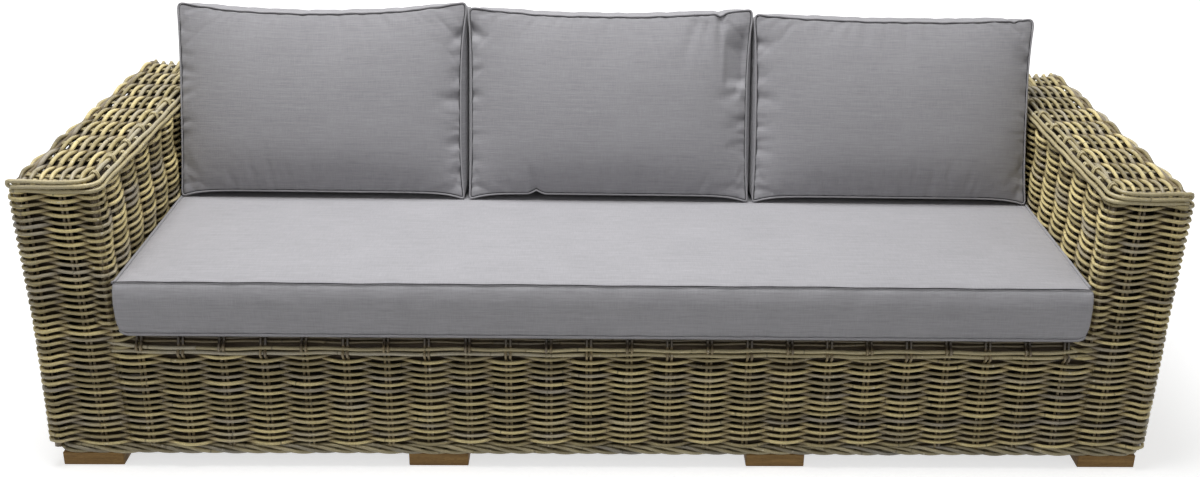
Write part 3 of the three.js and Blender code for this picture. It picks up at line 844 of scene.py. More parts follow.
def weaveTops(t):
    armRun = outline(
        [(rearLine, -t["endDrop"]), (rearLine, 0), (frontLine, 0), (frontLine, -t["endDrop"])],
        t["endBend"], closed=False)
    stakeLines = [t["stakesFirst"] + t["stakesPitch"] * k for k in range(t["stakeCount"])]
    inOrder = [distanceOf(armRun, (y, 0)) for y in reversed(stakeLines)]
    armPlaces = np.array([0.0] + inOrder + [armRun["lengths"][-1]])
    for side, word in ((-1, "left"), (1, "right")):
        stripsOver(
            topProfile(-(walls["armInner"] + t["seatSideGap"]), outerLeft, t), armRun, armPlaces,
            lambda y, x, z, side=side: np.column_stack((-side * x, y, z)),
            "arm_top_weave_" + word, t, 31 + side)
    backEnd = walls["armInner"] + t["seatSideGap"] - t["backEndGap"]
    backRun = outline([(backEnd, 0), (-backEnd, 0)], t["endBend"], closed=False)
    spacing = (outerRight - outerLeft) / stakes["rear"]
    backStakes = [outerRight - spacing * k for k in range(1, stakes["rear"])]
    crossed = [backEnd - x for x in backStakes if abs(x) < backEnd - t["stakeToEnd"]]
    stripsOver(
        topProfile(-(walls["backInner"] + t["seatSideGap"]), -rearLine, t), backRun,
        np.array([0.0] + crossed + [2 * backEnd]),
        lambda x, y, z: np.column_stack((x, -y, z)), "back_top_weave", t, 35)
    return stakeLines, backStakes


armStakeLines, backStakeLines = weaveTops(tops)
print("tops woven")


# The top of the apron below the seat cushion: two border canes in front, and more behind them that
# arch onto the deck

apronTop = {
    "canes": [
        # height, how far out of the stakes' line, radius, how much painted shade it gets, rise at its ends
        (0.2807, 0.0060, 0.0042, 0.0, 0.0),
        (0.2912, 0.0050, 0.0042, 0.08, 0.008),
        (0.3015, -0.0070, 0.0036, 0.60, 0.014),
        (0.3095, -0.0110, 0.0036, 0.66, 0.016),
        (0.3180, -0.0170, 0.0036, 0.68, 0.018),
    ],
    "pastArms": 0.032,  # their ends run behind the arms' fronts
    "fadeIn": 0.076,
    "endBack": 0.010,
    "stray": (0.0008, 0.0006),  # in slow and in quick waves
    "points": 150,
    "cuts": 3,
    "girth": (0.92, 1.06),
    "tone": (0.2, 0.9),
    "stakeUnder": (0.10, 0.16, 0.22, 0.266),
    # The stakes where they pass the two border canes: how far in they stand, and the height. Each
    # passes behind one of the two and comes over the other.
    "stakeOver": [
        [(0.0005, 0.2752), (0.0005, 0.2817), (-0.0060, 0.2857), (-0.0118, 0.2892), (-0.0115, 0.2937),
         (-0.0060, 0.2987), (0.0020, 0.3052)],
        [(-0.0090, 0.2732), (-0.0128, 0.2777), (-0.0128, 0.2827), (-0.0060, 0.2862), (0.0005, 0.2912),
         (-0.0010, 0.2977), (0.0020, 0.3052)],
    ],
    "stakeBack": [(0.005, 0.313), (0.011, 0.320), (0.021, 0.3245)],
    "ontoDeck": 0.050,
    # Painted shade on the apron's stakes under the seat cushion: how dark, from what height, and over what
    # rise
    "paintedShade": 0.68,
    "paintedShadeFrom": 0.2925,
    "paintedShadeOver": 0.007,
}


def smoothed(points, rounds):
    # Cuts the corners of a run of points, and keeps its ends
    points = np.asarray(points, float)
    for turn in range(rounds):
        quarter = points[:-1] * 0.75 + points[1:] * 0.25
        threeQuarters = points[:-1] * 0.25 + points[1:] * 0.75
        middle = np.stack((quarter, threeQuarters), 1).reshape(-1, 3)
        points = np.vstack((points[:1], middle, points[-1:]))
    return points


# Stakes: pairs of thin rods that the canes go round

pairs = {
    "wall": {"radius": weave["stakeRadius"], "spread": weave["stakeSpread"]},
    "top": {"radius": 0.0027, "spread": 0.0042},
    "jitter": 0.0006,  # how far a rod strays from its place
    "girth": (0.92, 1.1),
}


def addPair(kind, group, panel, points, across, dice, recess=0.0):
    across = np.asarray(across, float)
    for side in (-1, 1):
        shifted = np.asarray(points, float) + across * side * pairs[kind]["spread"]
        shifted = shifted + dice.uniform(-pairs["jitter"], pairs["jitter"]) * across
        radius = pairs[kind]["radius"] * dice.uniform(*pairs["girth"])
        addStrand(group, panel, shifted, radius, dice.random(), dice.uniform(0, 3), recess)


def panelAt(distance, borders, total):
    base = borders[0][0]
    d = (distance - base) % total + base
    for low, high, name in borders:
        if low - 1e-6 <= d <= high + 1e-6:
            return name


# How far the stakes run past the weave, and how far in from the seat side those of the tops end
stakeEnds = {"below": 0.012, "above": 0.004, "belowDeck": 0.03, "armTopIn": 0.045, "backTopIn": 0.008}


def addStakes(s, a):
    dice = random.Random(43)
    low, high = walls["bottom"] - s["below"], sideTop + s["above"]
    upperFoot = leaned(upperStations, upperPath, walls["bottom"], True)
    upperHead = leaned(upperStations, upperPath, walls["skinTop"], True)
    for k in range(len(upperPlan)):
        panel = panelAt(upperStations[k], upperBorders, upperPath["lengths"][-1])
        start = walls["deck"] - s["belowDeck"] if "inner" in panel else low
        points = []
        for z in np.linspace(start, high, 7):
            share = (z - walls["bottom"]) / rise
            d = upperFoot[k] + (upperHead[k] - upperFoot[k]) * share
            place, facing = along(upperPath, np.array([d]))
            points.append((*place[0], z))
        across = (-facing[0][1], facing[0][0], 0)
        addPair("wall", rods, panel, flared(points, flare), across, dice)
    # The apron's stakes turn over the seat rail and lie on the deck
    deckLevel = walls["deck"] - inset
    for i, x in enumerate(apronColumns):
        points = [(x, frontLine, z) for z in (low, *a["stakeUnder"])]
        points += [(x, frontLine + out, z) for out, z in a["stakeOver"][i % 2] + a["stakeBack"]]
        points += [(x, frontLine + a["ontoDeck"], deckLevel), (x, walls["backInner"], deckLevel)]
        points = smoothed(points, 1)
        # Painted shade: the stakes darken as they rise into the shadow under the seat cushion
        shade = a["paintedShade"] * np.clip((points[:, 2] - a["paintedShadeFrom"]) / a["paintedShadeOver"], 0, 1)
        addPair("wall", rods, "front_apron_weave", points, (1, 0, 0), dice, shade)
    # Those of the tops lie across them and turn down over the outer edge
    for word, side in (("left", -1), ("right", 1)):
        profile = topProfile(-(walls["armInner"] + s["armTopIn"]), outerLeft, tops)
        place = along(profile, np.linspace(0, profile["lengths"][-1], 14))[0]
        for y in armStakeLines:
            points = [(-side * out, y, z) for out, z in place]
            addPair("top", edgeCanes, "arm_top_weave_" + word, points, (0, 1, 0), dice)
    profile = topProfile(-(walls["backInner"] + s["backTopIn"]), -rearLine, tops)
    place = along(profile, np.linspace(0, profile["lengths"][-1], 14))[0]
    for x in backStakeLines:
        addPair("top", edgeCanes, "back_top_weave", [(x, -out, z) for out, z in place], (1, 0, 0), dice)


addStakes(stakeEnds, apronTop)


# Stout rods inside the corners of the walls, and poles along the tops' outer edges, inside the
# bend of the canes

cornerRods = {
    "radius": 0.0072,
    "in": 0.003,
    "below": 0.010,
    "seatRadius": 0.0085,
    "seatIn": 0.011,
    "seatBelow": 0.02,
    "darkest": 0.3,
    "poleIn": 0.0125,
    "poleDown": 0.0090,
    "poleRadius": 0.0068,
    "poleEnd": 0.004,
}


def addCornerRods(r):
    dice = random.Random(47)

    def addRod(panel, points, radius):
        addStrand(rods, panel, points, radius, dice.random() * r["darkest"], dice.random())

    for (x, y), panel in zip(cornersOut, (
            "back_outer_weave", "back_outer_weave", "arm_front_weave_left", "arm_front_weave_right")):
        inX = x - math.copysign(r["in"], x)
        inY = y - math.copysign(r["in"], y)
        heights = np.linspace(walls["bottom"] - r["below"], sideTop, 9)
        addRod(panel, flared([(inX, inY, z) for z in heights], flare), r["radius"])
    poleLevel = walls["top"] - r["poleDown"]
    for side, word in ((-1, "left"), (1, "right")):
        seatX, seatY = side * (seatSide + r["seatIn"]), frontLine + r["seatIn"]
        heights = np.linspace(walls["deck"] - r["seatBelow"], sideTop, 5)
        addRod("arm_front_weave_" + word, [(seatX, seatY, z) for z in heights], r["seatRadius"])
        poleX = side * (walls["right"] - r["poleIn"])
        depths = np.linspace(frontLine + r["poleEnd"], rearLine - r["poleEnd"], 30)
        addRod("arm_top_weave_" + word, [(poleX, y, poleLevel) for y in depths], r["poleRadius"])
    poleY = walls["rear"] - r["poleIn"]
    widths = np.linspace(-walls["armInner"], walls["armInner"], 60)
    addRod("back_top_weave", [(x, poleY, poleLevel) for x in widths], r["poleRadius"])


addCornerRods(cornerRods)


# Woven deck below the seat cushion, and the part of the apron that lies on it

deck = {
    "pitch": 0.0096,
    "caneRadius": 0.0042,
    "offset": 0.0062,
    "samples": 4,
    "underArms": 0.018,
    "fromFront": 0.030,
    "beforeBack": 0.004,
    "endFade": 0.03,
}


def weaveDeck(d):
    dice = random.Random(53)
    end = walls["armInner"] + d["underArms"]
    level = walls["deck"] - inset
    run = outline([(end, 0), (-end, 0)], 0.01, closed=False)
    places = np.array([0.0] + [end - x for x in reversed(apronColumns)] + [2 * end])
    first, last = frontLine + d["fromFront"], walls["backInner"] - d["beforeBack"]
    count = int((last - first) / d["pitch"])
    for i in range(count + 1):
        y = first + (last - first) * i / count
        made = wovenRow(
            run, places, 0.0, i, d["samples"], d["caneRadius"], d["offset"], endFade=d["endFade"])
        x, lift, sideways = made["points"].T
        made["points"] = np.column_stack((x, y + sideways, level + lift))
        panel = "front_apron_weave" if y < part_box("seat_deck_weave")[0][1] else "seat_deck_weave"
        addToPanels(made, cutToCanes(made, dice, 5, 12), [(-math.inf, math.inf, panel)])


weaveDeck(deck)
print("stakes and deck added")


# Edge canes: long canes that finish the top edges of an arm, bound down by stake ends. Two of them
# are one cane that turns back in a loop at the outer front corner. The back's top has them too.

edges = {
    "caneRadius": 0.0045,
    "backEnd": 0.285,
    "rows": (
        # how far in from the arm's front and from its seat side, how far below its top on both, and
        # the radius of the bend between them
        {"inFront": 0.0045, "inSeat": 0.0270, "dropFront": 0.0035, "dropSeat": 0.0050, "bend": 0.028},
        {"inFront": 0.0015, "inSeat": 0.0085, "dropFront": 0.0135, "dropSeat": 0.0090, "bend": 0.036},
        {"inFront": 0.0030, "inSeat": 0.0030, "dropFront": 0.0235, "dropSeat": 0.0190, "bend": 0.030},
    ),
    "dropOver": 0.05,
    "loopFrom": {-1: 1.1925, 1: 1.1890},  # by the side of the arm
    "thirdOut": 0.006,
    "loopReach": 0.0130,
    # the loop's points: share of its reach, how far back, how far up
    "loop": ((0.55, 0.002, 0.0060), (1, 0.005, 0.0035), (1.05, 0.006, -0.0040), (0.55, 0.004, -0.0075)),
    "stray": (0.0009, 0.0006),  # up and down, in slow and in quick waves
    "strayAside": 0.0008,
    "girth": (0.96, 1.05),
    "tone": (0.45, 0.95),
    "stubRadius": 0.0024,
    "stubTone": (0.6, 1.0),
    "stubSpread": 0.0037,
    "stubsTo": 0.27,
    # how far in from the seat side, and how far above the top, a stake's end runs over the upper cane
    "stubOver": ((0.046, -0.018), (0.036, -0.007), (0.0315, 0.0008), (0.0270, 0.0026), (0.0222, 0.0008),
                 (0.0190, -0.006), (0.018, -0.016)),
    # the same for an end that comes up between the canes from the inner wall
    "stubUp": ((0.0115, -0.036), (0.0125, -0.016), (0.0155, -0.006), (0.0195, -0.0055), (0.0245, -0.0125)),
    "overlap": 0.028,  # of the back's edge canes past the arms' inner faces
}


def edgeRun(e, row, startX):
    frontY, seatX = walls["front"] + row["inFront"], walls["armInner"] + row["inSeat"]
    run = outline([(startX, frontY), (seatX, frontY), (seatX, e["backEnd"])], row["bend"], closed=False)
    steps = np.linspace(0, run["lengths"][-1], 70)
    place = along(run, steps)[0]
    share = np.clip((place[:, 1] - walls["front"] - row["inFront"]) / e["dropOver"], 0, 1)
    height = walls["top"] - row["dropFront"] + (row["dropFront"] - row["dropSeat"]) * share
    return np.column_stack((place, height)), steps


def addEdgeCane(panel, points, e, dice):
    radius = e["caneRadius"] * dice.uniform(*e["girth"])
    addStrand(edgeCanes, panel, points, radius, dice.uniform(*e["tone"]), dice.uniform(0, 2))


def addStub(panel, points, across, e, dice):
    for nudge in (-e["stubSpread"], e["stubSpread"]):
        jitter = dice.uniform(-pairs["jitter"], pairs["jitter"])
        shifted = np.asarray(points, float) + np.asarray(across) * (nudge + jitter)
        tone, start = dice.uniform(*e["stubTone"]), dice.uniform(0, 2)
        addStrand(edgeCanes, panel, smoothed(shifted, 1), e["stubRadius"], tone, start)


def addEdgeCanes(e):
    dice = random.Random(61)
    armInner, top = walls["armInner"], walls["top"]
    slow, quick = e["stray"]
    for side, word in ((-1, "left"), (1, "right")):
        panel = "arm_top_weave_" + word
        out = np.array((side, 1, 1))
        runs = [edgeRun(e, row, e["loopFrom"][side] + further)
                for row, further in zip(e["rows"], (0, 0, e["thirdOut"]))]
        upper, lower, third = (run for run, lengths in runs)
        steps = runs[0][1]
        for run in (upper, lower, third):
            run[:, 2] += slow * np.sin(steps * 23 + dice.uniform(0, 6)) + quick * np.sin(steps * 61)
            run[:, 0] += e["strayAside"] * np.sin(steps * 17 + dice.uniform(0, 6))
        middle = (upper[0] + lower[0]) / 2
        loop = [middle + (e["loopReach"] * share, back, up) for share, back, up in e["loop"]]
        loop = [upper[0], *loop, lower[0]]
        for points in (np.vstack((upper[:0:-1], smoothed(loop, 2), lower[1:])), third):
            addEdgeCane(panel, points * out, e, dice)
        # Ends of the top's stakes come over the upper cane, and those of the inner wall come up
        # between the canes
        wallStakes = [
            frontLine + (backLine - frontLine) * k / stakes["armInner"] for k in range(1, stakes["armInner"])]
        for lines, places in ((armStakeLines, e["stubOver"]), (wallStakes, e["stubUp"])):
            for y in lines:
                if y < e["stubsTo"]:
                    points = np.array([(armInner + a, y, top + h) for a, h in places])
                    addStub(panel, points * out, (0, 1, 0), e, dice)


def addBackEdge(e):
    dice = random.Random(63)
    reach = walls["armInner"] + e["overlap"]
    x = np.linspace(-reach, reach, 120)
    for row in e["rows"]:
        slow, quick = e["stray"]
        wave = slow * np.sin(x * 19 + dice.uniform(0, 6)) + quick * np.sin(x * 53)
        y = walls["backInner"] + row["inSeat"] + wave * 0.7
        points = np.column_stack((x, y, walls["top"] - row["dropSeat"] + wave))
        addEdgeCane("back_top_weave", points, e, dice)
    for stakeX in backStakeLines:
        if abs(stakeX) < walls["armInner"]:
            over = [(stakeX, walls["backInner"] + a, walls["top"] + h) for a, h in e["stubOver"]]
            addStub("back_top_weave", over, (1, 0, 0), e, dice)


def addApronTop(a):
    dice = random.Random(67)
    reach = walls["armInner"] + a["pastArms"]
    final = a["points"] - 1
    # The recess value of each cane here sets its painted shade
    for height, out, radius, recess, rise in a["canes"]:
        x = np.linspace(-reach, reach, a["points"])
        toEnd = 1 - np.clip((reach - np.abs(x)) / a["fadeIn"], 0, 1)
        slow, quick = a["stray"]
        wave = slow * np.sin(x * 19 + dice.uniform(0, 6)) + quick * np.sin(x * 47 + dice.uniform(0, 6))
        points = np.column_stack((
            x, frontLine - out + wave + toEnd * a["endBack"], height + wave + toEnd ** 2 * rise))
        cuts = [0] + sorted(dice.sample(range(12, final - 11), a["cuts"])) + [final]
        for first, last in zip(cuts[:-1], cuts[1:]):
            addStrand(
                edgeCanes, "front_apron_weave", points[first:last + 1], radius * dice.uniform(*a["girth"]),
                dice.uniform(*a["tone"]), dice.uniform(0, 2), recess)


addEdgeCanes(edges)
addBackEdge(edges)
addApronTop(apronTop)
print("edge canes added")


# Plaited border round the foot: canes that wind round each other

border = {
    "canes": 4,
    "radius": 0.0043,
    "pitch": 0.19,
    "middle": 0.0445,
    "high": 0.0085,
    "deep": 0.0052,
    "in": 0.001,
    "bend": 0.03,
    "pointsPerTurn": 22,
    "cutAfter": (60, 130),
    "girth": (0.93, 1.06),
    "stray": 0.0008,
}


def addBorder(b):
    dice = random.Random(71)
    depth = inset + b["in"]
    left, right = walls["left"] + depth, walls["right"] - depth
    front, rear = walls["front"] + depth, walls["rear"] - depth
    corners = [(right, rear), (left, rear), (left, front), (right, front)]
    path = outline(corners, b["bend"])
    total = path["lengths"][-1]
    turns = round(total / b["pitch"])
    spans = bordersOf(path, [
        (corner, "base_border_" + word) for corner, word in zip(corners, ("rear", "left", "front", "right"))])
    offset = spans[0][0]
    steps = np.linspace(0, total, turns * b["pointsPerTurn"] + 1) + offset
    place, facing = along(path, steps)
    for i in range(b["canes"]):
        turn = 2 * math.pi * (turns * (steps - offset) / total + i / b["canes"])
        wave = b["stray"] * np.sin(steps * 13 + dice.uniform(0, 6))
        out = b["deep"] * np.cos(turn)
        up = -b["high"] * np.sin(turn) + wave
        points = np.column_stack((place + facing * out[:, None], b["middle"] + up))
        here = 0
        while here < len(points) - 1:
            there = min(here + dice.randint(*b["cutAfter"]), len(points) - 1)
            tone, girth = dice.random(), dice.uniform(*b["girth"])
            cut = steps[here:there + 1]
            for low, high, name in spans:
                inside = np.nonzero((cut >= low - 1e-9) & (cut <= high + 1e-9))[0]
                if len(inside) < 2:
                    continue
                first, last = here + inside[0], min(here + inside[-1] + 1, there)
                piece, start = points[first:last + 1], float(steps[first])
                addStrand(plaits, name, piece, b["radius"] * girth, tone, start)
            here = there


addBorder(border)


def finishWeave():
    for group, ending, material, slot, upright in (
            (panels, "_canes", "rattanCane", "rattan", False),
            (rods, "_stakes", "stakeCane", "rattan", True),
            (edgeCanes, "_edges", "edgeCane", "rattan", False),
            (plaits, "_canes", "borderCane", "border_rattan", False)):
        for node, strands in group.items():
            mesh = tubeMesh(node + ending, strands, upright)
            addObject(node + ending, mesh, rattan[material], slot, "sofa_body", node)
            print(node + ending, len(strands), "strands")


finishWeave()


# A thin near-black sheet behind the canes, painted shade for the inside of the walls, that also keeps
# light from showing through them, and dark rods as painted shade in the outer corners, where canes bend round
# with nothing behind them

shadeSheet = {
    "behind": 0.0265,
    "thickness": 0.0012,
    "foot": 0.066,
    "coreRadius": 0.0085,
    "coreBehind": 0.0175,
    "coreDown": 0.0120,
}


def makeShadeSheetMaterial():
    # Near black with faint patches and threads, as painted shade
    material, tree, shader = freshMaterial("darkShadeSheet", {"Specular IOR Level": 0.1})
    place = addNode(tree, "ShaderNodeTexCoord").outputs["Object"]
    patches = noise(tree, place, scale=6.0, detail=3.0)
    threads = noise(tree, place, scale=900.0, detail=1.0)
    colour = mixColours(tree, patches, (0.012, 0.010, 0.008, 1), (0.030, 0.024, 0.018, 1))
    tree.links.new(colour, shader.inputs["Base Color"])
    tree.links.new(weighted(tree, [(threads, 0.2)], 0.8), shader.inputs["Roughness"])
    bump = addNode(tree, "ShaderNodeBump", {"Height": threads, "Strength": 0.3, "Distance": 0.0005})
    tree.links.new(bump.outputs[0], shader.inputs["Normal"])
    return material


def addBlock(bm, low, high):
    low, high = Vector(low), Vector(high)
    place = Matrix.Translation((low + high) / 2) @ Matrix.Diagonal((*(high - low), 1))
    return bmesh.ops.create_cube(bm, size=1, matrix=place)["verts"]


def addShadeSheet(s):
    inside, foot = s["behind"], s["foot"]
    front, rear = walls["front"] + inside, walls["rear"] - inside
    left, right = walls["left"] + inside, walls["right"] - inside
    armInner, backInner = walls["armInner"] + inside, walls["backInner"] + inside
    top, deckLevel = walls["top"] - inside, walls["deck"] - inside
    bm = bmesh.new()
    for low, high in (
            ((left, front, foot), (-armInner, rear, top)),
            ((armInner, front, foot), (right, rear, top)),
            ((-armInner, backInner, foot), (armInner, rear, top)),
            ((-armInner, front, foot), (armInner, backInner, deckLevel))):
        faces = {f for v in addBlock(bm, low, high) for f in v.link_faces}
        underside = [f for f in faces if f.normal.z < -0.9]
        bmesh.ops.delete(bm, geom=underside, context="FACES_ONLY")
    bmesh.ops.solidify(bm, geom=bm.faces[:], thickness=s["thickness"])
    coreIn = s["coreBehind"]
    height = walls["top"] - s["coreDown"] - foot
    for x in (walls["left"] + coreIn, walls["right"] - coreIn):
        for y in (walls["front"] + coreIn, walls["rear"] - coreIn):
            bmesh.ops.create_cone(
                bm, cap_ends=True, segments=12, radius1=s["coreRadius"], radius2=s["coreRadius"],
                depth=height, matrix=Matrix.Translation((x, y, foot + height / 2)))
    addObject("weave_shade_sheet", meshFrom(bm, "weave_shade_sheet"), makeShadeSheetMaterial(), "rattan", "sofa_body")


addShadeSheet(shadeSheet)


# Feet: blocks with softened edges

feet = {"softEdge": 0.0022, "edgeSteps": 2}


def addFeet(f):
    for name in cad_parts:
        if not name.startswith("foot_"):
            continue
        bm = bmesh.new()
        addBlock(bm, *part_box(name))
        bmesh.ops.bevel(bm, geom=bm.edges[:], offset=f["softEdge"], segments=f["edgeSteps"], profile=0.5,
                        affect="EDGES", material=-1)
        mesh = meshFrom(bm, name + "_block")
        mesh.shade_smooth()
        addObject(name + "_block", mesh, footWood, "foot_wood", "sofa_body", name)


addFeet(feet)


# The hidden frame keeps its CAD pieces, with the grain along each member

def finishFrame():
    for name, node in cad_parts.items():
        if node.hide_render or not any(word in name for word in ("rail", "post", "bearer", "leg", "rib")):
            continue
        low, high = (Vector(v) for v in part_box(name))
        span = high - low
        longest = "xyz"[max(range(3), key=lambda i: span[i])]
        node.data.materials.clear()
        node.data.materials.append(frameWoodAlong[longest])


finishFrame()
print("feet and frame finished")


# Fabric: plain linen-like weave with slubs, in metres over each cushion's own cloth map

def makeLinenGroup():
    group, given = newGroup("slubLinen", {"Cloth": "Vector", "Light": "Color", "Dark": "Color"})
    cloth = given["Cloth"]

    def slubs(*scale, detail=2.0):
        return noise(group, stretched(group, cloth, scale), detail=detail, roughness=0.6)

    def threads(direction):
        return addNode(group, "ShaderNodeTexWave", {
            "Vector": cloth, "Scale": 330.0, "Distortion": 1.2, "Detail": 1.0},
            wave_type="BANDS", bands_direction=direction, wave_profile="SIN").outputs["Fac"]

    weft = slubs(26.0, 520.0, 0.0)
    warp = slubs(520.0, 34.0, 0.0)
    longWeft = slubs(5.0, 260.0, 0.0)
    faint = slubs(7.0, 7.0, 0.0, detail=3.0)
    crossings = calculate(group, "MULTIPLY", threads("Y"), threads("X"))
    level = weighted(group, [(weft, 1.30), (warp, 0.80), (longWeft, 0.95), (faint, 0.45)])
    level = calculate(group, "SUBTRACT", level, 1.25, clamp=True)
    return endGroup(group, {
        "Color": mixColours(group, level, given["Dark"], given["Light"]),
        "Height": weighted(group, [(weft, 1.2), (warp, 0.6), (crossings, 0.35)]),
    })


slubLinen = makeLinenGroup()


def makeFabric(name, light, dark):
    material, tree, shader = freshMaterial(
        name, {"Roughness": 0.9, "Specular IOR Level": 0.15, "Sheen Weight": 0.25, "Sheen Roughness": 0.5})
    cloth = addNode(tree, "ShaderNodeUVMap", uv_map="cloth").outputs["UV"]
    look = addNode(
        tree, "ShaderNodeGroup", {"Cloth": cloth, "Light": light, "Dark": dark}, node_tree=slubLinen)
    wireUp(tree, shader, look, 0.4, 0.0008)
    return material


linen = makeFabric("greyLinen", (0.455, 0.448, 0.470, 1), (0.325, 0.319, 0.337, 1))
# The back cushions get a darker copy of the seat's cloth, as painted shade
shadedBackLinen = makeFabric("greyLinenBackShaded", (0.385, 0.379, 0.398, 1), (0.275, 0.270, 0.286, 1))
piping = makeFabric("linenPiping", (0.40, 0.394, 0.412, 1), (0.28, 0.275, 0.29, 1))
# A near-black cord along some seams, painted shade for the crease beside the piping
seamShadeCord = makeFabric("seamShadeCord", (0.060, 0.058, 0.064, 1), (0.030, 0.029, 0.032, 1))


# Cushions. Each starts as a box of small squares, shaped by its shares of the box from -1 to 1
# along x, y and z, is then blown up as cloth with its seams held, and gets its folds last.

def gridBox(counts):
    bm = bmesh.new()
    bmesh.ops.create_cube(bm, size=2)
    for axis, count in enumerate(counts):
        edges = []
        for edge in bm.edges:
            span = edge.verts[0].co - edge.verts[1].co
            if all(abs(span[i]) < 1e-6 for i in range(3) if i != axis):
                edges.append(edge)
        bmesh.ops.subdivide_edges(bm, edges=edges, cuts=count - 1, use_grid_fill=True)
    return bm


def crowned(share, sharpness):
    return 1 - np.abs(share) ** sharpness


def closeToEdges(shares, gather):
    # Crowds the squares towards the seams, where the shape turns fastest
    return np.sign(shares) * (1 - (1 - np.abs(shares)) ** np.asarray(gather))


def roundCorner(a, b, halfA, halfB, radius):
    fromA = np.clip(np.abs(a) - (halfA - radius), 0, None)
    fromB = np.clip(np.abs(b) - (halfB - radius), 0, None)
    inCorner = (fromA > 0) & (fromB > 0)
    scale = np.where(inCorner, np.maximum(fromA, fromB) / np.maximum(np.hypot(fromA, fromB), 1e-9), 1)
    a = np.sign(a) * np.where(inCorner, halfA - radius + fromA * scale, np.abs(a))
    b = np.sign(b) * np.where(inCorner, halfB - radius + fromB * scale, np.abs(b))
    return a, b


def coordinates(mesh):
    found = np.zeros(len(mesh.vertices) * 3, "f")
    mesh.vertices.foreach_get("co", found)
    return found.reshape(-1, 3).astype(float)


def setCoordinates(mesh, points):
    mesh.vertices.foreach_set("co", np.asarray(points, "f").ravel())
    mesh.update()


def cushionMesh(name, counts, halves, gather, shape):
    bm = gridBox(counts)
    cloth = bm.loops.layers.uv.new("cloth")
    for vertex in bm.verts:
        vertex.co = closeToEdges(np.array(vertex.co), gather)
    for face in bm.faces:
        centre = face.calc_center_median()
        axis = max(range(3), key=lambda i: abs(centre[i]))
        u, v = {0: (1, 2), 1: (0, 2), 2: (0, 1)}[axis]
        for loop in face.loops:
            co = loop.vert.co
            # Each panel lies elsewhere on the cloth
            loop[cloth].uv = (co[u] * halves[u] + axis * 0.37, co[v] * halves[v] + 0.21 * centre[axis])
    mesh = meshFrom(bm, name)
    shares = coordinates(mesh)
    setCoordinates(mesh, shape(shares))
    return mesh, shares


clothSettings = {
    "quality": 6,
    "mass": 0.25,
    "tension_stiffness": 12,
    "compression_stiffness": 12,
    "shear_stiffness": 4,
    "use_pressure": True,
    "vertex_group_mass": "held",
    "vertex_group_shrink": "held",
}


def blowUp(mesh, held, s):
    made = addLinked("blownUp", mesh)
    group = made.vertex_groups.new(name="held")
    for index in np.nonzero(held)[0]:
        group.add([int(index)], 1.0, "REPLACE")
    modifier = made.modifiers.new("cloth", "CLOTH")
    settings = modifier.settings
    for key, value in clothSettings.items():
        setattr(settings, key, value)
    settings.bending_stiffness = s["bending"]
    settings.uniform_pressure_force = s["pressure"]
    settings.shrink_min = -s["slack"]
    settings.shrink_max = 0.0
    settings.effector_weights.gravity = 0
    modifier.collision_settings.use_collision = False
    modifier.point_cache.frame_end = s["frames"]
    for moment in range(1, s["frames"] + 1):
        scene.frame_set(moment)
    graph = bpy.context.evaluated_depsgraph_get()
    blown = made.evaluated_get(graph).to_mesh()
    points = coordinates(blown)
    made.evaluated_get(graph).to_mesh_clear()
    bpy.data.objects.remove(made)
    scene.frame_set(1)
    return points


def softened(start, end, most):
    # Moves each point towards its blown-up place, by less than its own limit
    moved = end - start
    length = np.linalg.norm(moved, axis=1)
    return start + moved * (most / (most + length + 1e-9))[:, None]


def seamOrder(shares, axis, side):
    # The points of a panel's seam, in their order round it from one corner
    others = [i for i in range(3) if i != axis]
    onRing = (np.abs(shares[:, axis] - side) < 1e-4) & (np.max(np.abs(shares[:, others]), axis=1) > 1 - 1e-4)
    indices = np.nonzero(onRing)[0]
    a, b = shares[indices][:, others[0]], shares[indices][:, others[1]]
    along = np.where(np.abs(b + 1) < 1e-4, a + 1, np.where(np.abs(a - 1) < 1e-4, 3 + b, np.where(
        np.abs(b - 1) < 1e-4, 5 - a, 7 - b)))
    along = np.where((np.abs(a + 1) < 1e-4) & (np.abs(b + 1) < 1e-4), 0, along)
    return indices[np.argsort(along)]


def outwardOf(ring, facing):
    # Direction away from the middle of a closed run of points, square to it and to the panel's facing
    tangent = np.roll(ring, -1, axis=0) - np.roll(ring, 1, axis=0)
    outward = np.cross(tangent, facing)
    outward /= np.linalg.norm(outward, axis=1, keepdims=True)
    if np.mean(np.sum(outward * (ring - ring.mean(axis=0)), axis=1)) < 0:
        outward = -outward
    return outward


def addCord(name, runs, radius, material, body):
    data = newCurve(name, radius, 2)
    data.use_fill_caps = True
    for run, closed in runs:
        addLine(data, run).use_cyclic_u = closed
    mesh = meshOfCurve(name, data)
    mesh.uv_layers[0].name = "cloth"
    mesh.shade_smooth()
    addObject(name, mesh, material, "fabric", body)


def finishCushion(name, mesh, points, cloth):
    setCoordinates(mesh, points)
    mesh.shade_smooth()
    made = addObject(name + "_cover", mesh, cloth, "fabric", name, name)
    made.vertex_groups.clear()
    smoothing = made.modifiers.new("smoothing", "SUBSURF")
    smoothing.levels = smoothing.render_levels = 1


seatLow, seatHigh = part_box("seat_cushion")
backBoxes = {word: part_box("back_cushion_" + word) for word in ("left", "middle", "right")}

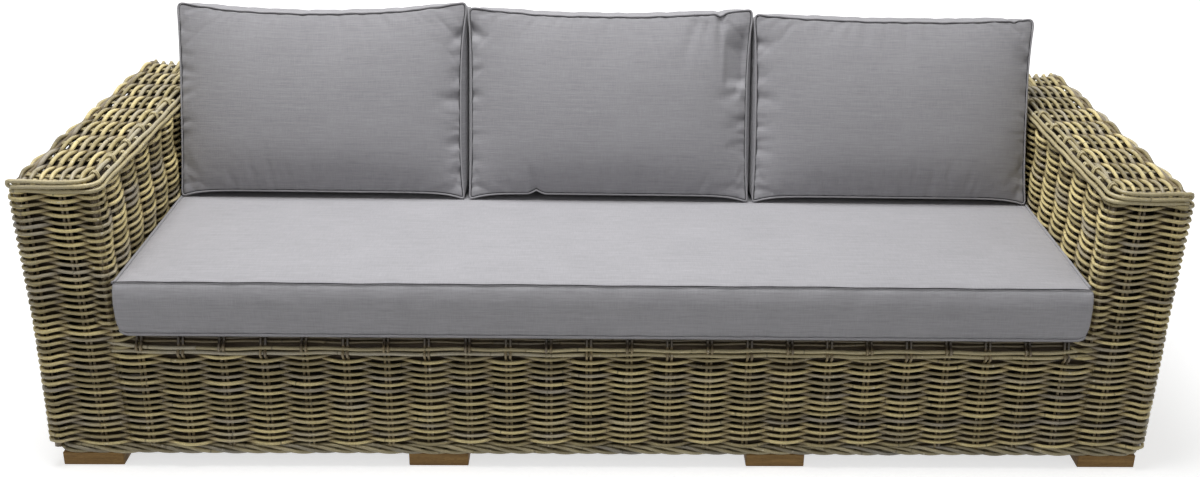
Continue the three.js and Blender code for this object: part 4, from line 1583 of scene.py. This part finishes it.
seat = {
    "counts": (128, 50, 12),
    "gather": (1.3, 1.3, 1.25),  # how far the squares crowd towards the seams
    "thickness": 0.109,
    "sink": 0.012,  # its rear seam is pressed down by the back cushions
    "footFront": 0.0343,  # y of the back cushions' front feet
    "corner": 0.005,
    "sideInset": 0.0010,
    "flare": 0.0055,  # the front stands out before the arms and widens there
    "frontInset": 0.0080,
    "frontBulge": 0.0115,
    "bulgeShape": 3.0,
    "lowBulge": 0.30,  # how much of the front's bulge is lost again at its foot
    "frontSag": 0.0065,
    "cornerRise": 0.010,  # how far the lower corners are rounded up and in
    "cornerIn": 0.008,
    "cornerReach": 0.022,
    "frontReach": 0.03,  # how far back the front's shape goes
    "flareReach": 0.02,
    "waver": 0.0011,  # how far the front seam strays up and down
    "offDeck": 0.0003,
    "besideArms": 0.0004,
    "overFront": 0.014,  # so far back from the front it may hang below the deck, or be wider
    "widerTo": 0.012,
    "mostFront": 0.004,
    "beforeBack": 0.0005,
    "underFeet": 0.02,
    "seamDepth": 0.0026,
    "cordOut": 0.0002,
    "pipingRadius": 0.0030,
    "pipingMoved": (0, 0, -0.0006),
    "lowPipingOut": 0.0010,
    "lowPipingMoved": (0, 0, 0.0022),
    # the near-black cord along the front's upper seam, painted shade for its crease
    "seamShadeRadius": 0.0013,
    "seamShadeMoved": (0, 0.0012, 0.0006),
    "fill": 0.85,
    "most": {"top": 0.006, "side": 0.003},
    "cloth": {"frames": 20, "pressure": 4.0, "bending": 0.6, "slack": 0.010},
}


def waves(places, lengths, seed):
    dice = random.Random(seed)
    total = sum(np.sin(places * 2 * math.pi / length + dice.uniform(0, 6.28)) for length in lengths)
    return total / len(lengths)


def makeSeatCushion(s):
    low, high = Vector(seatLow), Vector(seatHigh)
    halfX = (high.x - low.x) / 2 - s["sideInset"]
    halfY = (high.y - low.y) / 2 - s["frontInset"] / 2
    centreY = (high.y + low.y) / 2 + s["frontInset"] / 2
    slope = s["sink"] / (high.y - s["footFront"])

    def shape(shares):
        sx, sy, sz = shares.T
        x, y = roundCorner(sx * halfX, sy * halfY, halfX, halfY, s["corner"])
        up = (sz + 1) / 2
        swell = np.where(sz > 0, crowned(sz, s["bulgeShape"]), 1 - s["lowBulge"] * np.abs(sz) ** 5)
        toFront = np.clip(1 - (1 + sy) * halfY / s["frontReach"], 0, 1)
        y = y + centreY - swell * s["frontBulge"] * toFront
        toSide = np.clip(1 - (1 - np.abs(sx)) * halfX / s["flareReach"], 0, 1)
        x = x + np.sign(sx) * s["flare"] * toSide * toFront ** 6
        rise = slope * (s["footFront"] - y)
        frontness = np.clip((s["footFront"] - y) / (s["footFront"] - low.y), 0, 1)
        crown = crowned(sx, 6) * (1 - frontness ** 5)
        z = low.z + s["thickness"] * up + np.where(rise > 0, rise * crown * 0.6, rise) * up
        z = z + toFront * up * s["waver"] * waves(x, (0.62, 0.27, 0.13), 5)
        # The bottom seam is rounded up and in at the corners
        nearX = np.clip(1 - (1 - np.abs(sx)) * halfX / s["cornerReach"], 0, 1)
        nearY = np.clip(1 - (1 - np.abs(sy)) * halfY / (2 * s["cornerReach"]), 0, 1)
        near = nearX ** 2 * nearY
        z = z - s["frontSag"] * toFront ** 2 * (1 - up) ** 3 + near * s["cornerRise"] * (1 - up) ** 4
        return np.column_stack((x - np.sign(sx) * near * s["cornerIn"] * (1 - up) ** 8, y, z))

    mesh, shares = cushionMesh(
        "seat_cushion_cover", s["counts"], (halfX, halfY, s["thickness"] / 2), s["gather"], shape)
    points = coordinates(mesh)
    sz = shares[:, 2]
    edge = np.abs(shares) > 1 - 1e-4
    seam = edge[:, 2] & (edge[:, 0] | edge[:, 1])
    blown = blowUp(mesh, seam, s["cloth"])
    onTop = edge[:, 2] & (sz > 0)
    points = softened(points, blown, np.where(onTop, s["most"]["top"], s["most"]["side"]))
    # It lies flat on the deck, stays clear of the arms and the back, and stays under the feet
    # of the back cushions
    lowest = np.where(points[:, 1] < low.y + s["overFront"], -s["frontSag"], s["offDeck"])
    points[:, 2] = np.maximum(points[:, 2], low.z + lowest)
    wider = np.where(points[:, 1] < low.y + s["widerTo"], s["flare"], -s["besideArms"])
    points[:, 0] = np.clip(points[:, 0], low.x - wider, high.x + wider)
    points[:, 1] = np.clip(points[:, 1], low.y - s["mostFront"], high.y - s["beforeBack"])
    ceiling = low.z + s["thickness"] - slope * (points[:, 1] - s["footFront"])
    underFeet = points[:, 1] > s["footFront"] - s["underFeet"]
    points[:, 2] = np.where(underFeet, np.minimum(points[:, 2], ceiling), points[:, 2])

    across = s["counts"][0] + 1
    pipingRuns, seamShadeRuns = [], []
    for side in (1, -1):
        order = seamOrder(shares, 2, side)
        ring = points[order].copy()
        outward = outwardOf(ring, (0, 0, 1))
        facing = np.array((0, 0, side))
        cord = ring + (outward + facing) * s["cordOut"]
        points[order] = ring - (outward + facing) * s["seamDepth"] / math.sqrt(2)
        if side > 0:
            # The front's upper seam gets a near-black cord, painted shade for the crease under it, and the
            # rest of it is piped
            pipingRuns.append((np.vstack((cord[across + 1:], cord[:1])) + s["pipingMoved"], False))
            seamShadeRuns.append((cord[:across] + s["seamShadeMoved"], False))
        else:
            pipingRuns.append((cord + outward * s["lowPipingOut"] + s["lowPipingMoved"], True))
    finishCushion("seat_cushion", mesh, points, linen)
    addCord("seat_cushion_piping", pipingRuns, s["pipingRadius"], piping, "seat_cushion")
    addCord("seat_cushion_seam", seamShadeRuns, s["seamShadeRadius"], seamShadeCord, "seat_cushion")


makeSeatCushion(seat)
print("seat cushion made")

backs = {
    "counts": (104, 14, 72),
    "gather": (1.12, 1.0, 1.12),
    "height": 0.450,
    "thickness": 0.150,
    "lean": 17,  # degrees
    "corner": 0.013,
    "frontCrown": 0.036,
    "rearCrown": 0.030,
    "crownPeak": -0.22,  # the front is fullest below its middle
    "topBulge": 0.012,
    "inset": 0.0010,
    "footLift": 0.017,
    "seamDepth": 0.0030,
    "seamWaver": 0.0011,
    "aboveSeat": 0.0004,
    "pastBox": 0.0013,  # as far as its neighbour
    "armGap": 0.0008,
    "cordIn": 0.0002,
    "pipingRadius": 0.0021,
    # the near-black cord beside the front's piping, painted shade for its crease
    "seamShadeRadius": 0.0008,
    "seamShadeIn": 0.0034,
    "facetFade": (0.02, 0.05, 0.25),  # at its foot and its head, and the share at the side seam
    "fill": 0.75,
    "most": {"front": 0.007, "rear": 0.004, "side": 0.003, "foot": 0.0005, "top": 0.004},
    "cloth": {"frames": 22, "pressure": 4.0, "bending": 0.35, "slack": 0.014},
    "puckers": {
        # by seam: pitch, and the least and most of length, width and depth
        "side": (0.043, (0.022, 0.062), (0.0045, 0.0075), (0.0022, 0.0062)),
        "top": (0.048, (0.012, 0.030), (0.0045, 0.0070), (0.0010, 0.0022)),
        "foot": (0.052, (0.018, 0.048), (0.0060, 0.0110), (0.0008, 0.0020)),
    },
    "puckersFrom": 0.03,  # in from a corner
}

# Each cushion's own hang. A fold runs from one place on the front panel to another, in metres
# right and up from its middle, with its width and depth.
ownShapes = {
    "left": {
        "seed": 81,
        "topDip": 0.027,
        "raised": (0.008, 0.020),  # how far its top corners stand up
        "waist": (0.004, 0.013),  # how far its sides are drawn in
        "folds": (
            (-0.334, 0.073, -0.282, 0.066, 0.008, 0.006),
            (-0.334, -0.088, -0.305, -0.092, 0.007, 0.004),
            (-0.322, -0.150, -0.268, -0.214, 0.010, 0.005),
            (0.336, 0.160, 0.286, 0.126, 0.010, 0.009),
            (0.336, 0.062, 0.290, 0.044, 0.009, 0.007),
            (0.336, 0.010, 0.252, 0.006, 0.013, 0.010),
            (0.334, -0.088, 0.276, -0.102, 0.010, 0.010),
            (0.336, -0.160, 0.284, -0.178, 0.010, 0.008),
        ),
        "notches": ((-0.17, 0.0, 0.02, 0.0),),  # place, rise of the foot, reach, fall of the top
        "facet": None,
    },
    "middle": {
        "seed": 86,
        "topDip": 0.020,
        "raised": (0.008, 0.014),
        "waist": (0.006, 0.010),
        "folds": (
            (-0.336, 0.178, -0.292, 0.146, 0.010, 0.016),
            (-0.336, 0.025, -0.290, 0.008, 0.009, 0.005),
            (-0.336, -0.130, -0.285, -0.146, 0.009, 0.005),
            (-0.178, -0.222, -0.172, -0.150, 0.009, 0.006),
            (-0.150, -0.224, -0.146, -0.170, 0.009, 0.003),
            (0.205, 0.205, 0.150, 0.045, 0.011, 0.0045),
            (0.232, 0.200, 0.205, 0.095, 0.009, 0.0030),
            (0.262, 0.220, 0.264, 0.040, 0.008, 0.0090),
            (0.305, 0.035, 0.240, 0.018, 0.013, 0.0100),
            (0.330, -0.030, 0.265, -0.058, 0.009, 0.0060),
            (0.332, -0.085, 0.270, -0.104, 0.009, 0.0050),
        ),
        "notches": ((-0.175, 0.010, 0.022, 0.0), (0.262, 0.0, 0.018, 0.009)),
        "facet": (0.272, 0.045, 0.190, 0.022),  # place of its crease, lowest, highest, fall
    },
    "right": {
        "seed": 93,
        "topDip": 0.012,
        "raised": (0.002, 0.001),
        "waist": (0.007, 0.009),
        "folds": (
            (-0.334, 0.160, -0.284, 0.138, 0.009, 0.008),
            (-0.334, 0.085, -0.294, 0.070, 0.008, 0.006),
            (-0.334, 0.030, -0.262, 0.016, 0.010, 0.009),
            (-0.334, -0.040, -0.290, -0.048, 0.008, 0.006),
            (-0.334, -0.095, -0.278, -0.112, 0.009, 0.008),
            (0.336, 0.120, 0.290, 0.150, 0.012, 0.006),
            (0.334, 0.045, 0.296, 0.040, 0.009, 0.004),
            (0.330, -0.130, 0.280, -0.196, 0.011, 0.005),
        ),
        "notches": ((0.29, 0.0, 0.014, 0.004),),
        "facet": None,
    },
}


def seamPuckers(b, halfX, halfZ, dice):
    found = []
    for place, (pitch, *sizes) in b["puckers"].items():
        length = (halfZ if place == "side" else halfX) - b["puckersFrom"]
        for side in (-1, 1) if place == "side" else (0,):
            at = -length
            while at < length:
                long, width, depth = (dice.uniform(*size) for size in sizes)
                lean = dice.uniform(-0.35, 0.25) * long
                if place == "side":
                    found.append((side * halfX, at, side * (halfX - long), at + lean, width, depth))
                elif place == "top":
                    found.append((at, halfZ, at + lean, halfZ - long, width, depth))
                else:
                    found.append((at, -halfZ, at + lean, -halfZ + long, width, depth))
                at += pitch * dice.uniform(0.55, 1.5)
    return found


def foldDepth(x, z, folds):
    # A fold is a trough that fades out along its run
    depth = np.zeros(len(x))
    for startX, startZ, endX, endZ, width, deep in folds:
        runX, runZ = endX - startX, endZ - startZ
        length = math.hypot(runX, runZ)
        along = ((x - startX) * runX + (z - startZ) * runZ) / length ** 2
        beside = ((z - startZ) * runX - (x - startX) * runZ) / length
        fade = np.clip(1 - along, 0, 1) ** 1.3 * np.clip(1 + along * length / width, 0, 1)
        depth += deep * fade * np.exp(-(beside / (width * (1 + 0.5 * np.clip(along, 0, 1)))) ** 2)
    return depth


def makeBackCushion(word, b, own):
    low, high = (Vector(v) for v in backBoxes[word])
    centreX = (low.x + high.x) / 2
    halfX = (high.x - low.x) / 2 - b["inset"]
    halfZ = b["height"] / 2
    leanSin, leanCos = math.sin(math.radians(b["lean"])), math.cos(math.radians(b["lean"]))
    slope = seat["sink"] / (seatHigh[1] - seat["footFront"])
    footZ = seatLow[2] + seat["thickness"] + b["aboveSeat"]
    dice = random.Random(own["seed"])
    facing = np.array((0, -leanCos, leanSin))  # the way the front panel faces

    def shape(shares):
        sx, sy, sz = shares.T
        up = (sz + 1) / 2
        rear = (sy + 1) / 2
        x, z = roundCorner(sx * halfX, sz * halfZ, halfX, halfZ, b["corner"])
        tall = (z + halfZ) / b["height"]
        fromPeak = np.where(sz > b["crownPeak"], (sz - b["crownPeak"]) / (1 - b["crownPeak"]),
                            (b["crownPeak"] - sz) / (1 + b["crownPeak"]))
        frontCrown = crowned(sx, 3.6) * (1 - fromPeak ** np.where(sz > b["crownPeak"], 2.1, 3.0))
        rearCrown = crowned(sx, 2.6) * crowned(sz, 2.6)
        out = rear * rearCrown * b["rearCrown"] - (1 - rear) * frontCrown * b["frontCrown"]
        waist = np.where(sx < 0, own["waist"][0], own["waist"][1])
        pulled = crowned(sz + 0.1, 3.0).clip(0, 1) * np.abs(sx) ** 8
        x = x - np.sign(sx) * waist * pulled * (1 - rear) ** 2.5
        dip = own["topDip"] * up ** 2 * crowned(sx, 2.4)
        dip = dip - b["seamWaver"] * up ** 8 * waves(x + own["seed"], (0.083, 0.047, 0.19), own["seed"])
        lift = b["footLift"] * (1 - up) ** 3 * (1 - rear) ** 2 * crowned(sx, 9)
        dip = dip - (own["raised"][0] * (1 - sx) + own["raised"][1] * (1 + sx)) / 2 * up ** 2
        for place, footRise, reach, topFall in own["notches"]:
            pinch = np.clip(1 - np.abs(x - place) / reach, 0, 1) ** 1.5
            lift = lift + footRise * pinch * (1 - up) ** 6 * (1 - rear) ** 2
            dip = dip + topFall * pinch * up ** 12 * (1 - rear)
        levelY = seat["footFront"] + rear * b["thickness"] / leanCos
        drop = slope * (levelY - seat["footFront"]) / (1 + slope * leanSin / leanCos)
        footY = levelY - drop * leanSin / leanCos
        headY = seat["footFront"] + b["height"] * leanSin + rear * b["thickness"] * leanCos
        headZ = b["height"] * leanCos - rear * b["thickness"] * leanSin
        y = footY * (1 - tall) + headY * tall + out * leanCos - dip * leanSin
        z = footZ - drop * (1 - tall) + headZ * tall - out * leanSin - dip * leanCos + lift
        puffed = b["topBulge"] * crowned(sy, 2) * crowned(sx, 6) * up ** 12
        return np.column_stack((centreX + x, y + puffed * leanSin, z + puffed * leanCos))

    name = "back_cushion_" + word
    mesh, shares = cushionMesh(
        name + "_cover", b["counts"], (halfX, b["thickness"] / 2, halfZ), b["gather"], shape)
    points = coordinates(mesh)
    sx, sy, sz = shares.T
    edge = np.abs(shares) > 1 - 1e-4
    seam = edge[:, 1] & (edge[:, 0] | edge[:, 2])
    blown = blowUp(mesh, seam, b["cloth"])
    most = np.full(len(points), b["most"]["side"])
    most[edge[:, 1] & (sy < 0)] = b["most"]["front"]
    most[edge[:, 1] & (sy > 0)] = b["most"]["rear"]
    most[edge[:, 2] & (sz > 0)] = b["most"]["top"]
    most[edge[:, 2] & (sz < 0)] = b["most"]["foot"]
    points = softened(points, blown, most)
    folds = list(own["folds"]) + seamPuckers(b, halfX, halfZ, dice)
    onFront = edge[:, 1] & (sy < 0) & ~seam
    x, z = sx * halfX, sz * halfZ
    depth = foldDepth(x, z, folds)
    if own["facet"]:
        # Past a crease the panel falls back towards its side seam
        crease, lowest, highest, fall = own["facet"]
        footFade, headFade, sideFade = b["facetFade"]
        beyond = np.clip((x - crease) / (halfX - crease), 0, 1)
        within = np.clip((z - lowest) / footFade, 0, 1) * np.clip((highest - z) / headFade, 0, 1)
        depth = depth + fall * beyond ** 0.35 * np.clip((1 - beyond) / sideFade, 0, 1) * within
    points[onFront] -= (facing * depth[:, None])[onFront]
    sideFull = np.abs(sx) > 1 - 1e-4
    reach = halfX + b["inset"] + b["pastBox"]
    bulged = centreX + np.sign(sx) * reach
    middle = (crowned(sy, 4) * crowned(sz, 10) * sideFull)[:, None]
    points[:, :1] = points[:, :1] * (1 - middle) + bulged[:, None] * middle
    # It stays clear of the arms, and comes as far as its neighbour
    lowX = low.x + (b["armGap"] if word == "left" else -b["pastBox"])
    highX = high.x - (b["armGap"] if word == "right" else -b["pastBox"])
    points[:, 0] = np.clip(points[:, 0], lowX, highX)
    foot = footZ - slope * (points[:, 1] - seat["footFront"])
    points[:, 2] = np.maximum(points[:, 2], foot)

    pipingRuns, seamShadeRuns = [], []
    for side in (-1, 1):
        order = seamOrder(shares, 1, side)
        ring = points[order].copy()
        normal = facing * -side
        outward = outwardOf(ring, normal)
        points[order] = ring - (outward + normal) * b["seamDepth"] / math.sqrt(2)
        pipingRuns.append((ring - (outward - normal) * b["cordIn"], True))
        # The front panel's seam gets a near-black cord beside its piping, as painted shade for the crease
        if side < 0:
            seamShadeRuns.append((ring - outward * b["seamShadeIn"] + normal * b["cordIn"], True))
    finishCushion(name, mesh, points, shadedBackLinen)
    addCord(name + "_piping", pipingRuns, b["pipingRadius"], piping, name)
    addCord(name + "_seam", seamShadeRuns, b["seamShadeRadius"], seamShadeCord, name)


for word in ("left", "middle", "right"):
    makeBackCushion(word, backs, ownShapes[word])
    print(word, "back cushion made")
